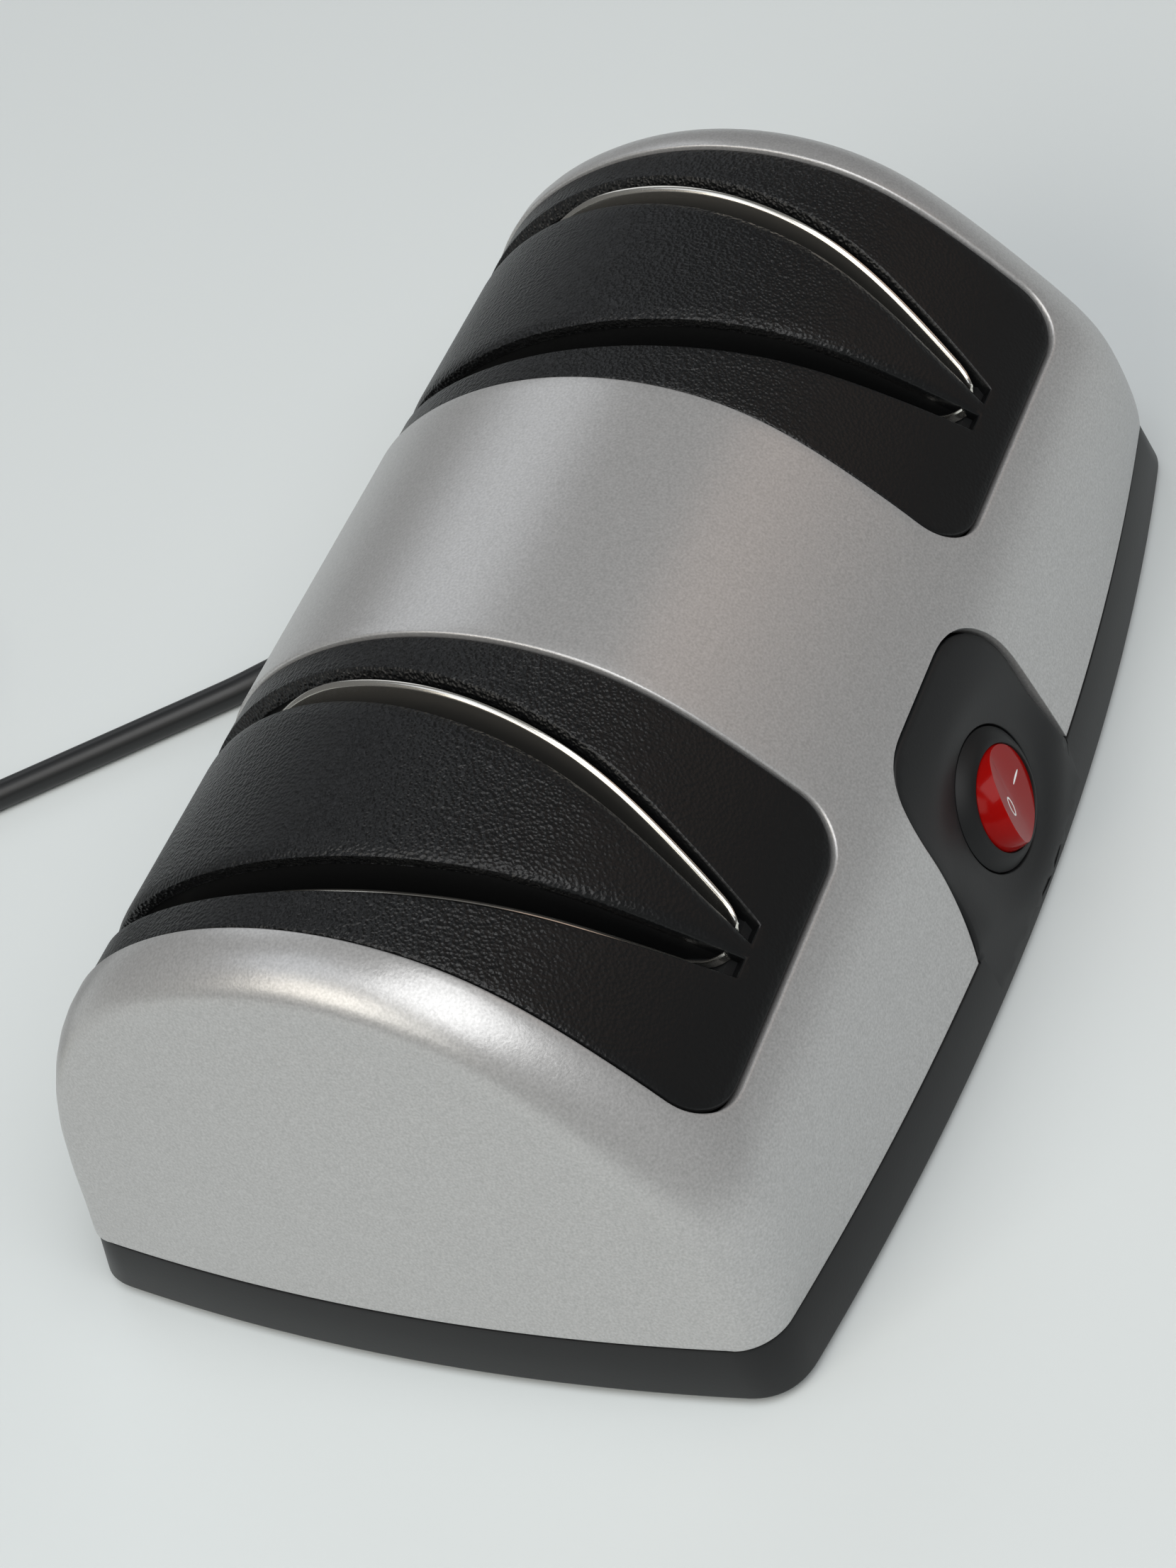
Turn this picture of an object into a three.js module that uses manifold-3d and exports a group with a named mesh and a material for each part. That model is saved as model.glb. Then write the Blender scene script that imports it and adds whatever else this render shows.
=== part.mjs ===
import * as THREE from 'three';
import { mergeVertices } from 'three/addons/utils/BufferGeometryUtils.js';
import Module from 'manifold-3d';

// An electric two-stage knife sharpener in millimetres. X runs along the housing from the coarse
// stage to the fine stage, the switch faces -Y, the cord leaves at +Y, and the feet stand on z = 0.

const wasm = await Module();
wasm.setup();

// Running and seating clearances
const seatGap = 0.3;
const seamGap = 0.6;
const overrun = 5;

// Base tray: plan outline at its lower edge
const cornerHalfLength = 100.4;
const endBulge = 4.7;
const frontCornerY = -56.15;
const frontBulge = 9.4;
const backY = 65.55;
const planCornerRadius = 7;
const footStandoff = 1.5;
const rimZ = 12.3;
const rimInset = 1.47;
const baseWall = 2.4;
const baseFloor = 2.5;
const edgeBreak = 0.8;
const lipWall = 1.6;
const lipHeight = 2;
const lipTaper = 0.8;
const lipGap = 0.7;
const lipRootZ = 8.5;

// Arched housing over the tray
const crestZ = 80.7;
const shellWall = 2.4;
const endDraftShare = 0.135;
const bulgeFadeShare = 0.478;
const bulgeFadeZ = rimZ + bulgeFadeShare * (crestZ - rimZ);
const rollSize = 10;

// Front and back of the arch as shares of its span and of its rise above the rim
const archShares = [
  [0, 0],
  [0.033, 0.186],
  [0.066, 0.372],
  [0.189, 0.669],
  [0.337, 0.911],
  [0.52, 1],
  [0.707, 0.938],
  [0.867, 0.741],
  [0.965, 0.412],
  [1, 0],
];

// How the rounded ends vary along the arch: share of the arch, drop and reach as shares of rollSize
const rollShares = [
  [0, 0.7, 0.7],
  [0.09, 1.2, 1.45],
  [0.2, 1.05, 1.6],
  [0.32, 0.75, 1.25],
  [0.5, 0.68, 1.02],
  [0.75, 0.55, 0.85],
  [0.9, 0.52, 0.75],
  [1, 0.6, 0.65],
];

// Guide covers: one per stage, each with a hump between two slots
const stageX = 56.85;
const coverLength = 56.7;
const coverFrontY = -50.9;
const coverBackY = 57;
const coverCornerX = 8.5;
const coverCornerY = 5.5;
const coverGap = 0.4;
const coverRecess = 0.5;
const coverWall = 2.2;
const coverSkirt = 8;
const ledgeWidth = 3;
const ledgeWall = 1.8;

// Slot faces: half width at the shaft plane and reference height, then lean and toe-in slopes
const slotDatumZ = 80.5;
const slotWidth = 5.3;
const humpFace = { half: 14.8, leanShare: 0.22, toeShare: 0.142 };
const outerFace = { half: humpFace.half + slotWidth, leanShare: 0.3, toeShare: 0.13 };
const slotFloorZ = 49.5;
const slotFrontY = -46.8;
const guideWall = 1.8;

// Front switch panel and rocker switch
const panelHalfWidth = 24;
const panelWaist = 20.6;
const panelWaistZ = 30;
const panelTopZ = 42.4;
const panelTopHalf = 8.5;
const panelFlareShare = 0.45;
const panelWall = 2.4;
const panelRecess = 1.5;
const panelBlend = 5;
const switchZ = 20.4;
const switchLean = 2.5;
const switchProud = 0.5;
const switchDiameter = 23;
const switchDome = 1.7;
const switchFlange = 1.6;
const switchBoss = 2;
const switchCaseDiameter = 19.4;
const switchCaseDepth = 13;
const rockerDiameter = 16.5;
const rockerGap = 0.4;
const rockerPivot = 1.5;
const rockerDepth = 7;
const rockerRise = 2.6;
const rockerFall = 3;
const rockerSwing = 26;
const rockerTurn = -12;
const terminalWidth = 6.3;
const terminalThickness = 0.8;
const terminalLength = 9;
const terminalSpacing = 8;

// Motor, shaft and wheels
const shaftY = 5;
const shaftZ = 37.5;
const shaftDiameter = 6;
const shaftHalfLength = 84;
const wheelDiameter = 48;
const wheelThickness = 5;
const wheelOffset = 5.4;
const wheelHubDiameter = 16;
const wheelHubLength = 9;
const wheelCone = 1.2;
const wheelWindow = 1.6;
const collarDiameter = 13;
const collarLength = 6;
const statorThickness = 22;
const statorHeight = 46;
const statorBackY = 30;
const statorFrontY = -32;
const statorLeg = 11;
const windowWidth = 9;
const windowHeight = 26;
const rotorDiameter = 27;
const airGap = 0.6;
const rotorLength = 24;
const coilWall = 7;
const windingLength = 38;
const bracketThickness = 3;
const bracketWidth = 16;
const bracketStand = 9;
const bracketSpan = 44;
const bracketLeg = 8;
const bushDiameter = 11;
const bushLength = 7;
const boltDiameter = 3.6;
const boltHeadDiameter = 6.6;
const boltHeadLength = 2.6;
const fanDiameter = 40;
const fanWidth = 6;
const fanHubDiameter = 13;
const fanDisc = 1.4;
const fanBlades = 9;
const fanX = 31;
const bladeWall = 1.4;

// Pedestals that carry the shaft's ends, and the motor's saddles
const pedestalX = 77;
const pedestalWall = 5;
const pedestalWidth = 22;
const saddleWall = 3;
const saddleHalfSpan = 20;
const saddleLength = 16;

// Springs along the slots' outer sides
const springWall = 0.5;
const springStandoff = 0.7;
const springRoom = 1.3;
const springLipDrop = 3.1;
const springLip = 0.5;
const springLipHeight = 1.2;
const springArch = 1;
const springFrontY = -44.4;
const springBackY = 38;

// Posts, screws and feet
const postX = 90.2;
const postFrontY = -33;
const postBackY = 46;
const postDiameter = 8;
const postFootZ = 9;
const screwDiameter = 3;
const screwHeadDiameter = 6;
const screwHeadHeight = 2;
const screwReach = 16;
const footX = 80;
const footFrontY = -42;
const footBackY = 50;
const footDiameter = 13;
const footHeight = 2.6;
const ventCount = 7;
const ventPitch = 7;
const ventWidth = 3;
const ventLength = 34;

// Mains cord: round PVC, strain relief, coil put away behind the housing, and two-pin plug
const cordDiameter = 5.4;
const cordSpare = 0.45;
const cordExitX = 34.7;
const cordExitZ = 7.2;
const reliefLength = 24;
const reliefRootDiameter = 8.6;
const reliefTipDiameter = 6.6;
const reliefNeckDiameter = 6.6;
const reliefFlange = 1.6;
const coilMeanRadius = 29.9;
const coilTurns = 5.86;
const coilEntryAngle = 219.3;
const coilClimbTurns = 0.25;
const cordRunSteps = 18;
const coilCentreX = -7.2;
const coilCentreY = 199.7;
const tieThickness = 0.5;
const tieWidth = 7;
const tieAngle = 60;
const pinDiameter = 4;
const pinLength = 19;
const pinSpacing = 18.6;
const pinSocket = 6;
const pinTip = 1;

// The plug along its length: distance, width and thickness, and how square its section is
const plugProfile = [
  [0, 6.6, 6.6],
  [12, 8.2, 8.2],
  [17, 16, 11.7],
  [29.5, 26, 13.6],
  [46.2, 26, 13.6],
  [47, 24.4, 12],
];
const plugNeckLength = plugProfile[1][0];
const plugFace = plugProfile[plugProfile.length - 1][0];
const plugSquareShare = 0.6;

// The strain relief's bend: shares of its length along, aside and down
const reliefShares = [[0, 0, 0], [0.35, 0, 0], [0.7, 0.035, 0.038]];

// Facet counts
const archSteps = 22;
const liningSteps = 12;
const rollSteps = 4;
const spanSteps = 6;
const capSteps = 2;
const planSteps = [12, 7, 2, 7];
const roundSteps = 24;
const smallRoundSteps = 12;
const curveSteps = 4;
const springSteps = 12;
const loopSteps = 24;
const tubeSides = 6;
const runSides = 8;
const searchSteps = 400;

// Materials
const finish = (color, roughness, metalness) =>
  new THREE.MeshStandardMaterial({ color, roughness, metalness });
const silverPaint = finish('#a9a8a6', 0.42, 0.55);
const blackPlastic = finish('#1d1d1e', 0.55, 0);
const grainedPlastic = finish('#17181a', 0.5, 0);
const springSteel = finish('#d7d6d2', 0.2, 1);
const redPlastic = finish('#c3121c', 0.25, 0);
const switchBlack = finish('#151517', 0.45, 0);
const brass = finish('#b8964f', 0.35, 1);
const lamination = finish('#5d6063', 0.55, 0.8);
const copper = finish('#a5562b', 0.4, 0.7);
const castAlloy = finish('#a5a8ab', 0.5, 0.9);
const bronze = finish('#8d6b45', 0.5, 0.9);
const shaftSteel = finish('#c2c4c6', 0.25, 1);
const coarseGrit = finish('#8f8a80', 0.9, 0.1);
const fineGrit = finish('#d9d4c8', 0.8, 0);
const fanPlastic = finish('#e4e2da', 0.5, 0);
const rubber = finish('#202020', 0.9, 0);
const zincScrew = finish('#b9bcbf', 0.35, 1);
const cordPvc = finish('#0f0f10', 0.5, 0);

const { degToRad, lerp } = THREE.MathUtils;

// Booleans
function toSolid(geometry) {
  const bare = geometry.clone();
  bare.deleteAttribute('normal');
  bare.deleteAttribute('uv');
  const merged = mergeVertices(bare);
  const mesh = new wasm.Mesh({
    numProp: 3,
    vertProperties: merged.attributes.position.array,
    triVerts: new Uint32Array(merged.index.array),
  });
  return new wasm.Manifold(mesh);
}

function toGeometry(solid) {
  const mesh = solid.getMesh();
  const geometry = new THREE.BufferGeometry();
  geometry.setAttribute('position', new THREE.BufferAttribute(mesh.vertProperties, mesh.numProp));
  geometry.setIndex(new THREE.BufferAttribute(mesh.triVerts, 1));
  return geometry;
}

const union = (first, ...rest) => rest.reduce((sum, next) => sum.add(next), first);
const cut = (first, ...rest) => rest.reduce((left, next) => left.subtract(next), first);

// A closed skin through rings of equal count. An end is closed flat, or drawn to a tip point.
function loft(rings, startTip, endTip) {
  const count = rings[0].length;
  const points = rings.flat();
  const faces = [];
  for (let ring = 0; ring + 1 < rings.length; ring += 1) {
    for (let i = 0; i < count; i += 1) {
      const a = ring * count + i;
      const b = ring * count + (i + 1) % count;
      faces.push(a, b, b + count, a, b + count, a + count);
    }
  }
  const closeEnd = (first, tip, flip) => {
    const ring = points.slice(first, first + count);
    const add = (a, b, c) => faces.push(...(flip ? [a, c, b] : [a, b, c]));
    if (tip) {
      points.push(tip);
      for (let i = 0; i < count; i += 1) {
        add(points.length - 1, first + (i + 1) % count, first + i);
      }
      return;
    }
    flatCap(ring).forEach(([a, b, c]) => add(first + a, first + b, first + c));
  };
  closeEnd(0, startTip, false);
  closeEnd((rings.length - 1) * count, endTip, true);
  const geometry = new THREE.BufferGeometry();
  const places = points.flatMap((p) => p.toArray());
  geometry.setAttribute('position', new THREE.Float32BufferAttribute(places, 3));
  geometry.setIndex(faces);
  return outward(geometry);
}

// Triangles of a flat ring, wound so that they close the start of a loft
function flatCap(ring) {
  const normal = new THREE.Vector3();
  ring.forEach((p, i) => normal.add(new THREE.Vector3().crossVectors(p, ring[(i + 1) % ring.length])));
  const size = normal.clone().set(Math.abs(normal.x), Math.abs(normal.y), Math.abs(normal.z));
  const largest = Math.max(size.x, size.y, size.z);
  const flatten = (p) => {
    if (largest === size.z) return new THREE.Vector2(p.x, p.y);
    if (largest === size.y) return new THREE.Vector2(p.z, p.x);
    return new THREE.Vector2(p.y, p.z);
  };
  const outline = ring.map(flatten);
  const wound = THREE.ShapeUtils.isClockWise(outline);
  const triangles = THREE.ShapeUtils.triangulateShape(outline, []);
  const forwardTriangle = ([a, b, c]) => {
    const area = THREE.ShapeUtils.area([outline[a], outline[b], outline[c]]);
    return (area < 0) === wound ? [a, b, c] : [a, c, b];
  };
  return triangles.map(forwardTriangle).map(([a, b, c]) => [a, c, b]);
}

// Turns a skin's faces outward if its signed volume is negative
function outward(geometry) {
  const place = geometry.attributes.position;
  const index = geometry.index.array;
  const a = new THREE.Vector3();
  const b = new THREE.Vector3();
  const c = new THREE.Vector3();
  let volume = 0;
  for (let i = 0; i < index.length; i += 3) {
    a.fromBufferAttribute(place, index[i]);
    b.fromBufferAttribute(place, index[i + 1]);
    c.fromBufferAttribute(place, index[i + 2]);
    volume += a.dot(b.cross(c));
  }
  if (volume < 0) {
    for (let i = 0; i < index.length; i += 3) {
      [index[i + 1], index[i + 2]] = [index[i + 2], index[i + 1]];
    }
  }
  return geometry;
}

// Straight pieces and turned pieces
function block(x0, x1, y0, y1, z0, z1) {
  const geometry = new THREE.BoxGeometry(x1 - x0, y1 - y0, z1 - z0);
  geometry.translate((x0 + x1) / 2, (y0 + y1) / 2, (z0 + z1) / 2);
  return toSolid(geometry);
}

// A turned body about Z: pairs of radius and height, the first and last on the axis or closed
function turned(pairs, steps = roundSteps) {
  const outline = pairs.map(([r, z]) => new THREE.Vector2(r, z));
  return new THREE.LatheGeometry(outline, steps).rotateX(Math.PI / 2);
}

const rod = (radius, z0, z1, steps) =>
  turned([[0, z0], [radius, z0], [radius, z1], [0, z1]], steps);

const sleeve = (bore, radius, z0, z1, steps) =>
  turned([[bore, z0], [radius, z0], [radius, z1], [bore, z1], [bore, z0]], steps);

const alongX = (geometry) => geometry.rotateY(Math.PI / 2);
const onShaft = (geometry, x) => alongX(geometry).translate(x, shaftY, shaftZ);

function pushed(shape, depth, curveSegments) {
  return new THREE.ExtrudeGeometry(shape, { depth, bevelEnabled: false, curveSegments });
}

// A shape drawn in (x, z) and pushed from y0 to y1
function pushedAlongY(shape, y0, y1, steps = curveSteps) {
  return pushed(shape, y1 - y0, steps).rotateX(Math.PI / 2).translate(0, y1, 0);
}

// A shape drawn in (x, y) and pushed from z0 to z1
function pushedAlongZ(shape, z0, z1, steps = curveSteps) {
  return pushed(shape, z1 - z0, steps).translate(0, 0, z0);
}

// A shape drawn in (y, z) and pushed from x0 to x1
function pushedAlongX(shape, x0, x1, steps = curveSteps) {
  const geometry = pushed(shape, x1 - x0, steps);
  return geometry.rotateZ(Math.PI / 2).rotateY(Math.PI / 2).translate(x0, 0, 0);
}

// Plan outline of the tray at one height, drawn in by an inset
function planRing(z, inset) {
  const x = cornerHalfLength - inset;
  const front = frontCornerY + inset;
  const back = backY - inset;
  const corners = [[-x, front], [x, front], [x, back], [-x, back]];
  const bulges = [[0, -frontBulge], [endBulge, 0], [0, 0], [-endBulge, 0]];
  const pointOnSide = (side, share) => {
    const [ax, ay] = corners[side];
    const [bx, by] = corners[(side + 1) % corners.length];
    const rise = 4 * share * (1 - share);
    const [dx, dy] = bulges[side];
    return new THREE.Vector3(lerp(ax, bx, share) + rise * dx, lerp(ay, by, share) + rise * dy, z);
  };
  const trimOf = (side) => {
    const [ax, ay] = corners[side];
    const [bx, by] = corners[(side + 1) % corners.length];
    return planCornerRadius / Math.hypot(bx - ax, by - ay);
  };
  return corners.flatMap((corner, side) => {
    const next = (side + 1) % corners.length;
    const trim = trimOf(side);
    const run = Array.from({ length: planSteps[side] + 1 }, (_, i) =>
      pointOnSide(side, lerp(trim, 1 - trim, i / planSteps[side])));
    const [cx, cy] = corners[next];
    const bend = new THREE.QuadraticBezierCurve3(
      run[run.length - 1], new THREE.Vector3(cx, cy, z), pointOnSide(next, trimOf(next)));
    return [...run, ...bend.getPoints(curveSteps).slice(1, -1)];
  });
}

const planLoft = (pairs) => toSolid(loft(pairs.map(([z, inset]) => planRing(z, inset))));

// The arch
const archFrontY = frontCornerY - frontBulge + rimInset;
const archBackY = backY - rimInset;
const archCurve = new THREE.SplineCurve(archShares.map(([across, up]) =>
  new THREE.Vector2(lerp(archFrontY, archBackY, across), lerp(rimZ, crestZ, up))));
const planMiddleY = (frontCornerY + backY) / 2;
const planHalfDepth = (backY - frontCornerY) / 2;

function rollAt(share) {
  const next = Math.max(1, rollShares.findIndex(([s]) => s >= share));
  const [s0, drop0, reach0] = rollShares[next - 1];
  const [s1, drop1, reach1] = rollShares[next];
  const t = THREE.MathUtils.smoothstep(share, s0, s1);
  return { drop: rollSize * lerp(drop0, drop1, t), reach: rollSize * lerp(reach0, reach1, t) };
}

// Where the flat end face stands at a depth and height
function endFaceX(y, z, inset) {
  const aside = (y - planMiddleY) / planHalfDepth;
  const foot = cornerHalfLength - rimInset + endBulge * (1 - aside * aside);
  return foot - endDraftShare * (z - rimZ) - inset;
}

// One row of the arch: its place on the profile and how its ends roll over, for a given inset
function archRow(share, insetAt) {
  const place = archCurve.getPointAt(share);
  const along = archCurve.getTangentAt(share);
  const inset = insetAt(place.y);
  const inward = new THREE.Vector2(along.y, -along.x);
  const base = place.clone().addScaledVector(inward, inset);
  const roll = rollAt(share);
  const drop = Math.max(roll.drop - inset, edgeBreak);
  const reach = Math.max(roll.reach - inset, edgeBreak);
  const fade = Math.max(0, (bulgeFadeZ - place.y) / (bulgeFadeZ - rimZ));
  const lag = place.x < planMiddleY ? frontBulge * fade * fade : 0;
  const edgeY = base.x + drop * inward.x + lag;
  const edgeZ = Math.max(base.y + drop * inward.y, rimZ);
  const edgeX = endFaceX(edgeY, edgeZ, inset);
  const pointAt = (x, turn) => {
    const fall = drop * (1 - Math.cos(turn));
    const across = x / cornerHalfLength;
    return new THREE.Vector3(
      x, base.x + fall * inward.x + lag * across * across, Math.max(base.y + fall * inward.y, rimZ));
  };
  return { pointAt, edgeX, startX: edgeX - reach, reach };
}

// A closed body under the arch surface, drawn in by an inset. Its foot may reach below the rim.
function archBody({ inset = 0, footZ = rimZ, steps = archSteps, spans = spanSteps } = {}) {
  const insetAt = typeof inset === 'function' ? inset : () => inset;
  const rows = Array.from({ length: steps + 1 }, (_, i) => archRow(i / steps, insetAt));
  const withFeet = (points) => {
    if (footZ >= rimZ) return points;
    const low = (p) => new THREE.Vector3(p.x, p.y, footZ);
    return [low(points[0]), ...points, low(points[points.length - 1])];
  };
  const rollRings = Array.from({ length: rollSteps }, (_, j) => {
    const turn = (Math.PI / 2) * (1 - j / rollSteps);
    return rows.map((row) => row.pointAt(row.startX + row.reach * Math.sin(turn), turn));
  });
  const spanRings = Array.from({ length: spans + 1 }, (_, j) => {
    const share = 1 - 2 * j / spans;
    return rows.map((row) => row.pointAt(share * row.startX, 0));
  });
  const mirrored = (ring) => ring.map((p) => new THREE.Vector3(-p.x, p.y, p.z));
  const rimInsetNow = insetAt(rimZ);
  const tip = new THREE.Vector3(endFaceX(planMiddleY, rimZ, rimInsetNow), planMiddleY, rimZ);
  const edge = rollRings[0];
  const faceRings = Array.from({ length: capSteps }, (_, j) => {
    const share = (j + 1) / (capSteps + 1);
    return edge.map((p) => {
      const y = lerp(tip.y, p.y, share);
      const z = lerp(tip.z, p.z, share);
      return new THREE.Vector3(endFaceX(y, z, rimInsetNow), y, z);
    });
  });
  const half = [...faceRings, ...rollRings];
  const rings = [...half, ...spanRings, ...half.map(mirrored).reverse()].map(withFeet);
  const farTip = mirrored([tip])[0];
  return toSolid(loft(rings, tip, farTip));
}

// Guide opening in plan, grown by a margin
function coverPrism(x, margin, z0, z1) {
  const left = x - coverLength / 2 - margin;
  const right = x + coverLength / 2 + margin;
  const front = coverFrontY - margin;
  const back = coverBackY + margin;
  const rx = coverCornerX + margin;
  const ry = coverCornerY + margin;
  const shape = new THREE.Shape();
  shape.absellipse(left + rx, front + ry, rx, ry, Math.PI, Math.PI * 3 / 2);
  shape.absellipse(right - rx, front + ry, rx, ry, -Math.PI / 2, 0);
  shape.absellipse(right - rx, back - ry, rx, ry, 0, Math.PI / 2);
  shape.absellipse(left + rx, back - ry, rx, ry, Math.PI / 2, Math.PI);
  return toSolid(pushedAlongZ(shape, z0, z1));
}

// Switch panel outline seen from the front, grown by a margin
function panelPrism(margin, y0, y1) {
  const foot = panelHalfWidth + margin;
  const waist = panelWaist + margin;
  const top = panelTopZ + margin;
  const footZ = baseFloor + footStandoff;
  const shape = new THREE.Shape();
  const flareZ = lerp(rimZ, panelWaistZ, panelFlareShare);
  shape.moveTo(-foot, footZ);
  shape.lineTo(foot, footZ);
  shape.lineTo(foot, rimZ);
  shape.quadraticCurveTo(waist + margin, flareZ, waist, panelWaistZ);
  shape.quadraticCurveTo(waist - margin, top, panelTopHalf, top);
  shape.lineTo(-panelTopHalf, top);
  shape.quadraticCurveTo(margin - waist, top, -waist, panelWaistZ);
  shape.quadraticCurveTo(-waist - margin, flareZ, -foot, rimZ);
  return toSolid(pushedAlongY(shape, y0, y1, curveSteps));
}

// A slot face's x offset from its stage, at a depth and height
const faceOffset = (face, y, z) => face.half + face.leanShare * (z - slotDatumZ) + face.toeShare * y;

// The space between two slot faces over a depth and height range, for one side of a stage
function slotWedge(stage, side, inner, outer, y0, y1, z0, z1) {
  const corner = (face, extra, y, z) =>
    new THREE.Vector3(stage + side * (faceOffset(face, y, z) + extra), y, z);
  const ringAt = (y) => [
    corner(inner.face, inner.extra, y, z0),
    corner(outer.face, outer.extra, y, z0),
    corner(outer.face, outer.extra, y, z1),
    corner(inner.face, inner.extra, y, z1),
  ];
  return toSolid(loft([ringAt(y0), ringAt(y1)]));
}

const group = new THREE.Group();
group.name = 'electric_knife_sharpener';

function addNode(name, geometry, material) {
  const mesh = new THREE.Mesh(geometry, material);
  mesh.name = name;
  group.add(mesh);
  return mesh;
}

const addSolid = (name, solid, material) => addNode(name, toGeometry(solid), material);

// The first share of the arch, from its front, where a test of its point holds
function archShareWhere(test) {
  const shares = Array.from({ length: searchSteps + 1 }, (_, i) => i / searchSteps);
  return shares.find((share) => test(archCurve.getPointAt(share)));
}

// Switch place on the panel: the arch tangent at its height gives the way it faces. It leans a little
// more upright and stands a little proud, so that its face is level with the panel above and below it
function switchFrame() {
  const share = archShareWhere((point) => point.y >= switchZ);
  const place = archCurve.getPointAt(share);
  const along = archCurve.getTangentAt(share);
  const normal = new THREE.Vector3(0, -along.y, along.x);
  const centre = new THREE.Vector3(0, place.x, place.y).addScaledVector(normal, switchProud - panelRecess);
  return { centre, tilt: Math.atan2(along.y, along.x) + degToRad(switchLean) };
}
const switchSeat = switchFrame();

// Puts a piece built about Z, facing +Z, onto the panel facing outward
function onPanel(geometry) {
  return geometry.rotateX(switchSeat.tilt).translate(0, switchSeat.centre.y, switchSeat.centre.z);
}

// Inset of the switch panel: flush with the tray's rim, then recessed
function panelInset(z) {
  return panelRecess * THREE.MathUtils.smoothstep(z, rimZ, rimZ + panelBlend);
}

const stages = [['coarse', -stageX], ['fine', stageX]];
const sides = [['left', -1], ['right', 1]];
const posts = [
  ['front_left', -postX, postFrontY],
  ['front_right', postX, postFrontY],
  ['back_left', -postX, postBackY],
  ['back_right', postX, postBackY],
];
const feet = [
  ['front_left', -footX, footFrontY],
  ['front_right', footX, footFrontY],
  ['back_left', -footX, footBackY],
  ['back_right', footX, footBackY],
];

// Base tray with its lip, pedestals, saddles, screw bosses, vents and switch panel
function baseHousing() {
  const trayTop = rimZ - seamGap;
  const tray = planLoft([
    [footStandoff, edgeBreak],
    [footStandoff + edgeBreak, 0],
    [trayTop, rimInset],
  ]);
  const lipInset = rimInset + shellWall + lipGap;
  const lip = planLoft([
    [lipRootZ, lipInset],
    [rimZ, lipInset],
    [rimZ + lipHeight, lipInset + lipTaper],
  ]);
  const floorTop = footStandoff + baseFloor;
  const lower = planLoft([[floorTop, baseWall], [lipRootZ + seatGap, baseWall + rimInset / 2]]);
  const upper = planLoft([
    [lipRootZ, lipInset + lipWall],
    [rimZ, lipInset + lipWall],
    [rimZ + lipHeight + overrun, lipInset + lipWall + lipTaper],
  ]);
  const panelFoot = archBody({ inset: panelInset, footZ: lipRootZ });
  const backInset = (z) => panelInset(z) + panelWall;
  const panelBack = archBody({ inset: backInset, footZ: -overrun, steps: liningSteps });
  const panelClip = panelPrism(0, frontCornerY - frontBulge - overrun, planMiddleY);
  const panel = panelFoot.subtract(panelBack).intersect(panelClip);
  const floorBottom = floorTop - baseFloor / 2;
  const pedestalTop = shaftZ + bushDiameter / 2 + pedestalWall;
  const pedestals = sides.map(([, side]) => {
    const middle = side * pedestalX;
    const wall = block(middle - pedestalWall / 2, middle + pedestalWall / 2,
      shaftY - pedestalWidth / 2, shaftY + pedestalWidth / 2, floorBottom, pedestalTop);
    const seat = onShaft(rod(bushDiameter / 2 + seatGap, -pedestalWall, pedestalWall), middle);
    return wall.subtract(toSolid(seat));
  });
  const saddleTop = shaftZ - statorHeight / 2 - seatGap;
  const saddles = sides.map(([, side]) => {
    const middle = side * saddleHalfSpan + (statorFrontY + statorBackY) / 2;
    return block(-saddleLength / 2, saddleLength / 2, middle - saddleWall / 2, middle + saddleWall / 2,
      floorBottom, saddleTop);
  });
  const upright = (radius, z0, z1) => ([, x, y]) =>
    toSolid(rod(radius, z0, z1, smallRoundSteps).translate(x, y, 0));
  const headTop = footStandoff + screwHeadHeight + seatGap;
  const bosses = posts.map(upright(postDiameter / 2, floorBottom, postFootZ - seatGap));
  const screwHoles = [
    ...posts.map(upright(screwDiameter / 2 + seatGap, -overrun, postFootZ + overrun)),
    ...posts.map(upright(screwHeadDiameter / 2 + seatGap, -overrun, headTop)),
  ];
  const footSeats = feet.map(upright(footDiameter / 2 + seatGap, -overrun, footHeight + seatGap));
  const vents = Array.from({ length: ventCount }, (_, i) => {
    const x = (i - (ventCount - 1) / 2) * ventPitch;
    return block(x - ventWidth / 2, x + ventWidth / 2, -ventLength / 2, ventLength / 2,
      -overrun, floorTop + overrun);
  });
  const flangeRadius = switchDiameter / 2 + seatGap;
  const flangeSeat = -switchFlange - seatGap;
  const switchBack = toSolid(onPanel(rod(flangeRadius + switchBoss, flangeSeat - switchBoss, -seatGap)));
  const switchHole = toSolid(onPanel(
    rod(switchCaseDiameter / 2 + seatGap, -switchCaseDepth - overrun, overrun)));
  const switchRecess = toSolid(onPanel(rod(flangeRadius, flangeSeat, overrun)));
  const cordHole = toSolid(rod(reliefNeckDiameter / 2 + seatGap, -overrun, overrun * 2, smallRoundSteps)
    .rotateX(-Math.PI / 2).translate(cordExitX, backY - overrun, cordExitZ));
  const hollow = cut(union(tray, lip), lower, upper);
  return cut(union(hollow, panel, switchBack, ...pedestals, ...saddles, ...bosses),
    ...screwHoles, ...footSeats, ...vents, switchHole, switchRecess, cordHole);
}
addSolid('base_housing', baseHousing(), blackPlastic);

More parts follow.
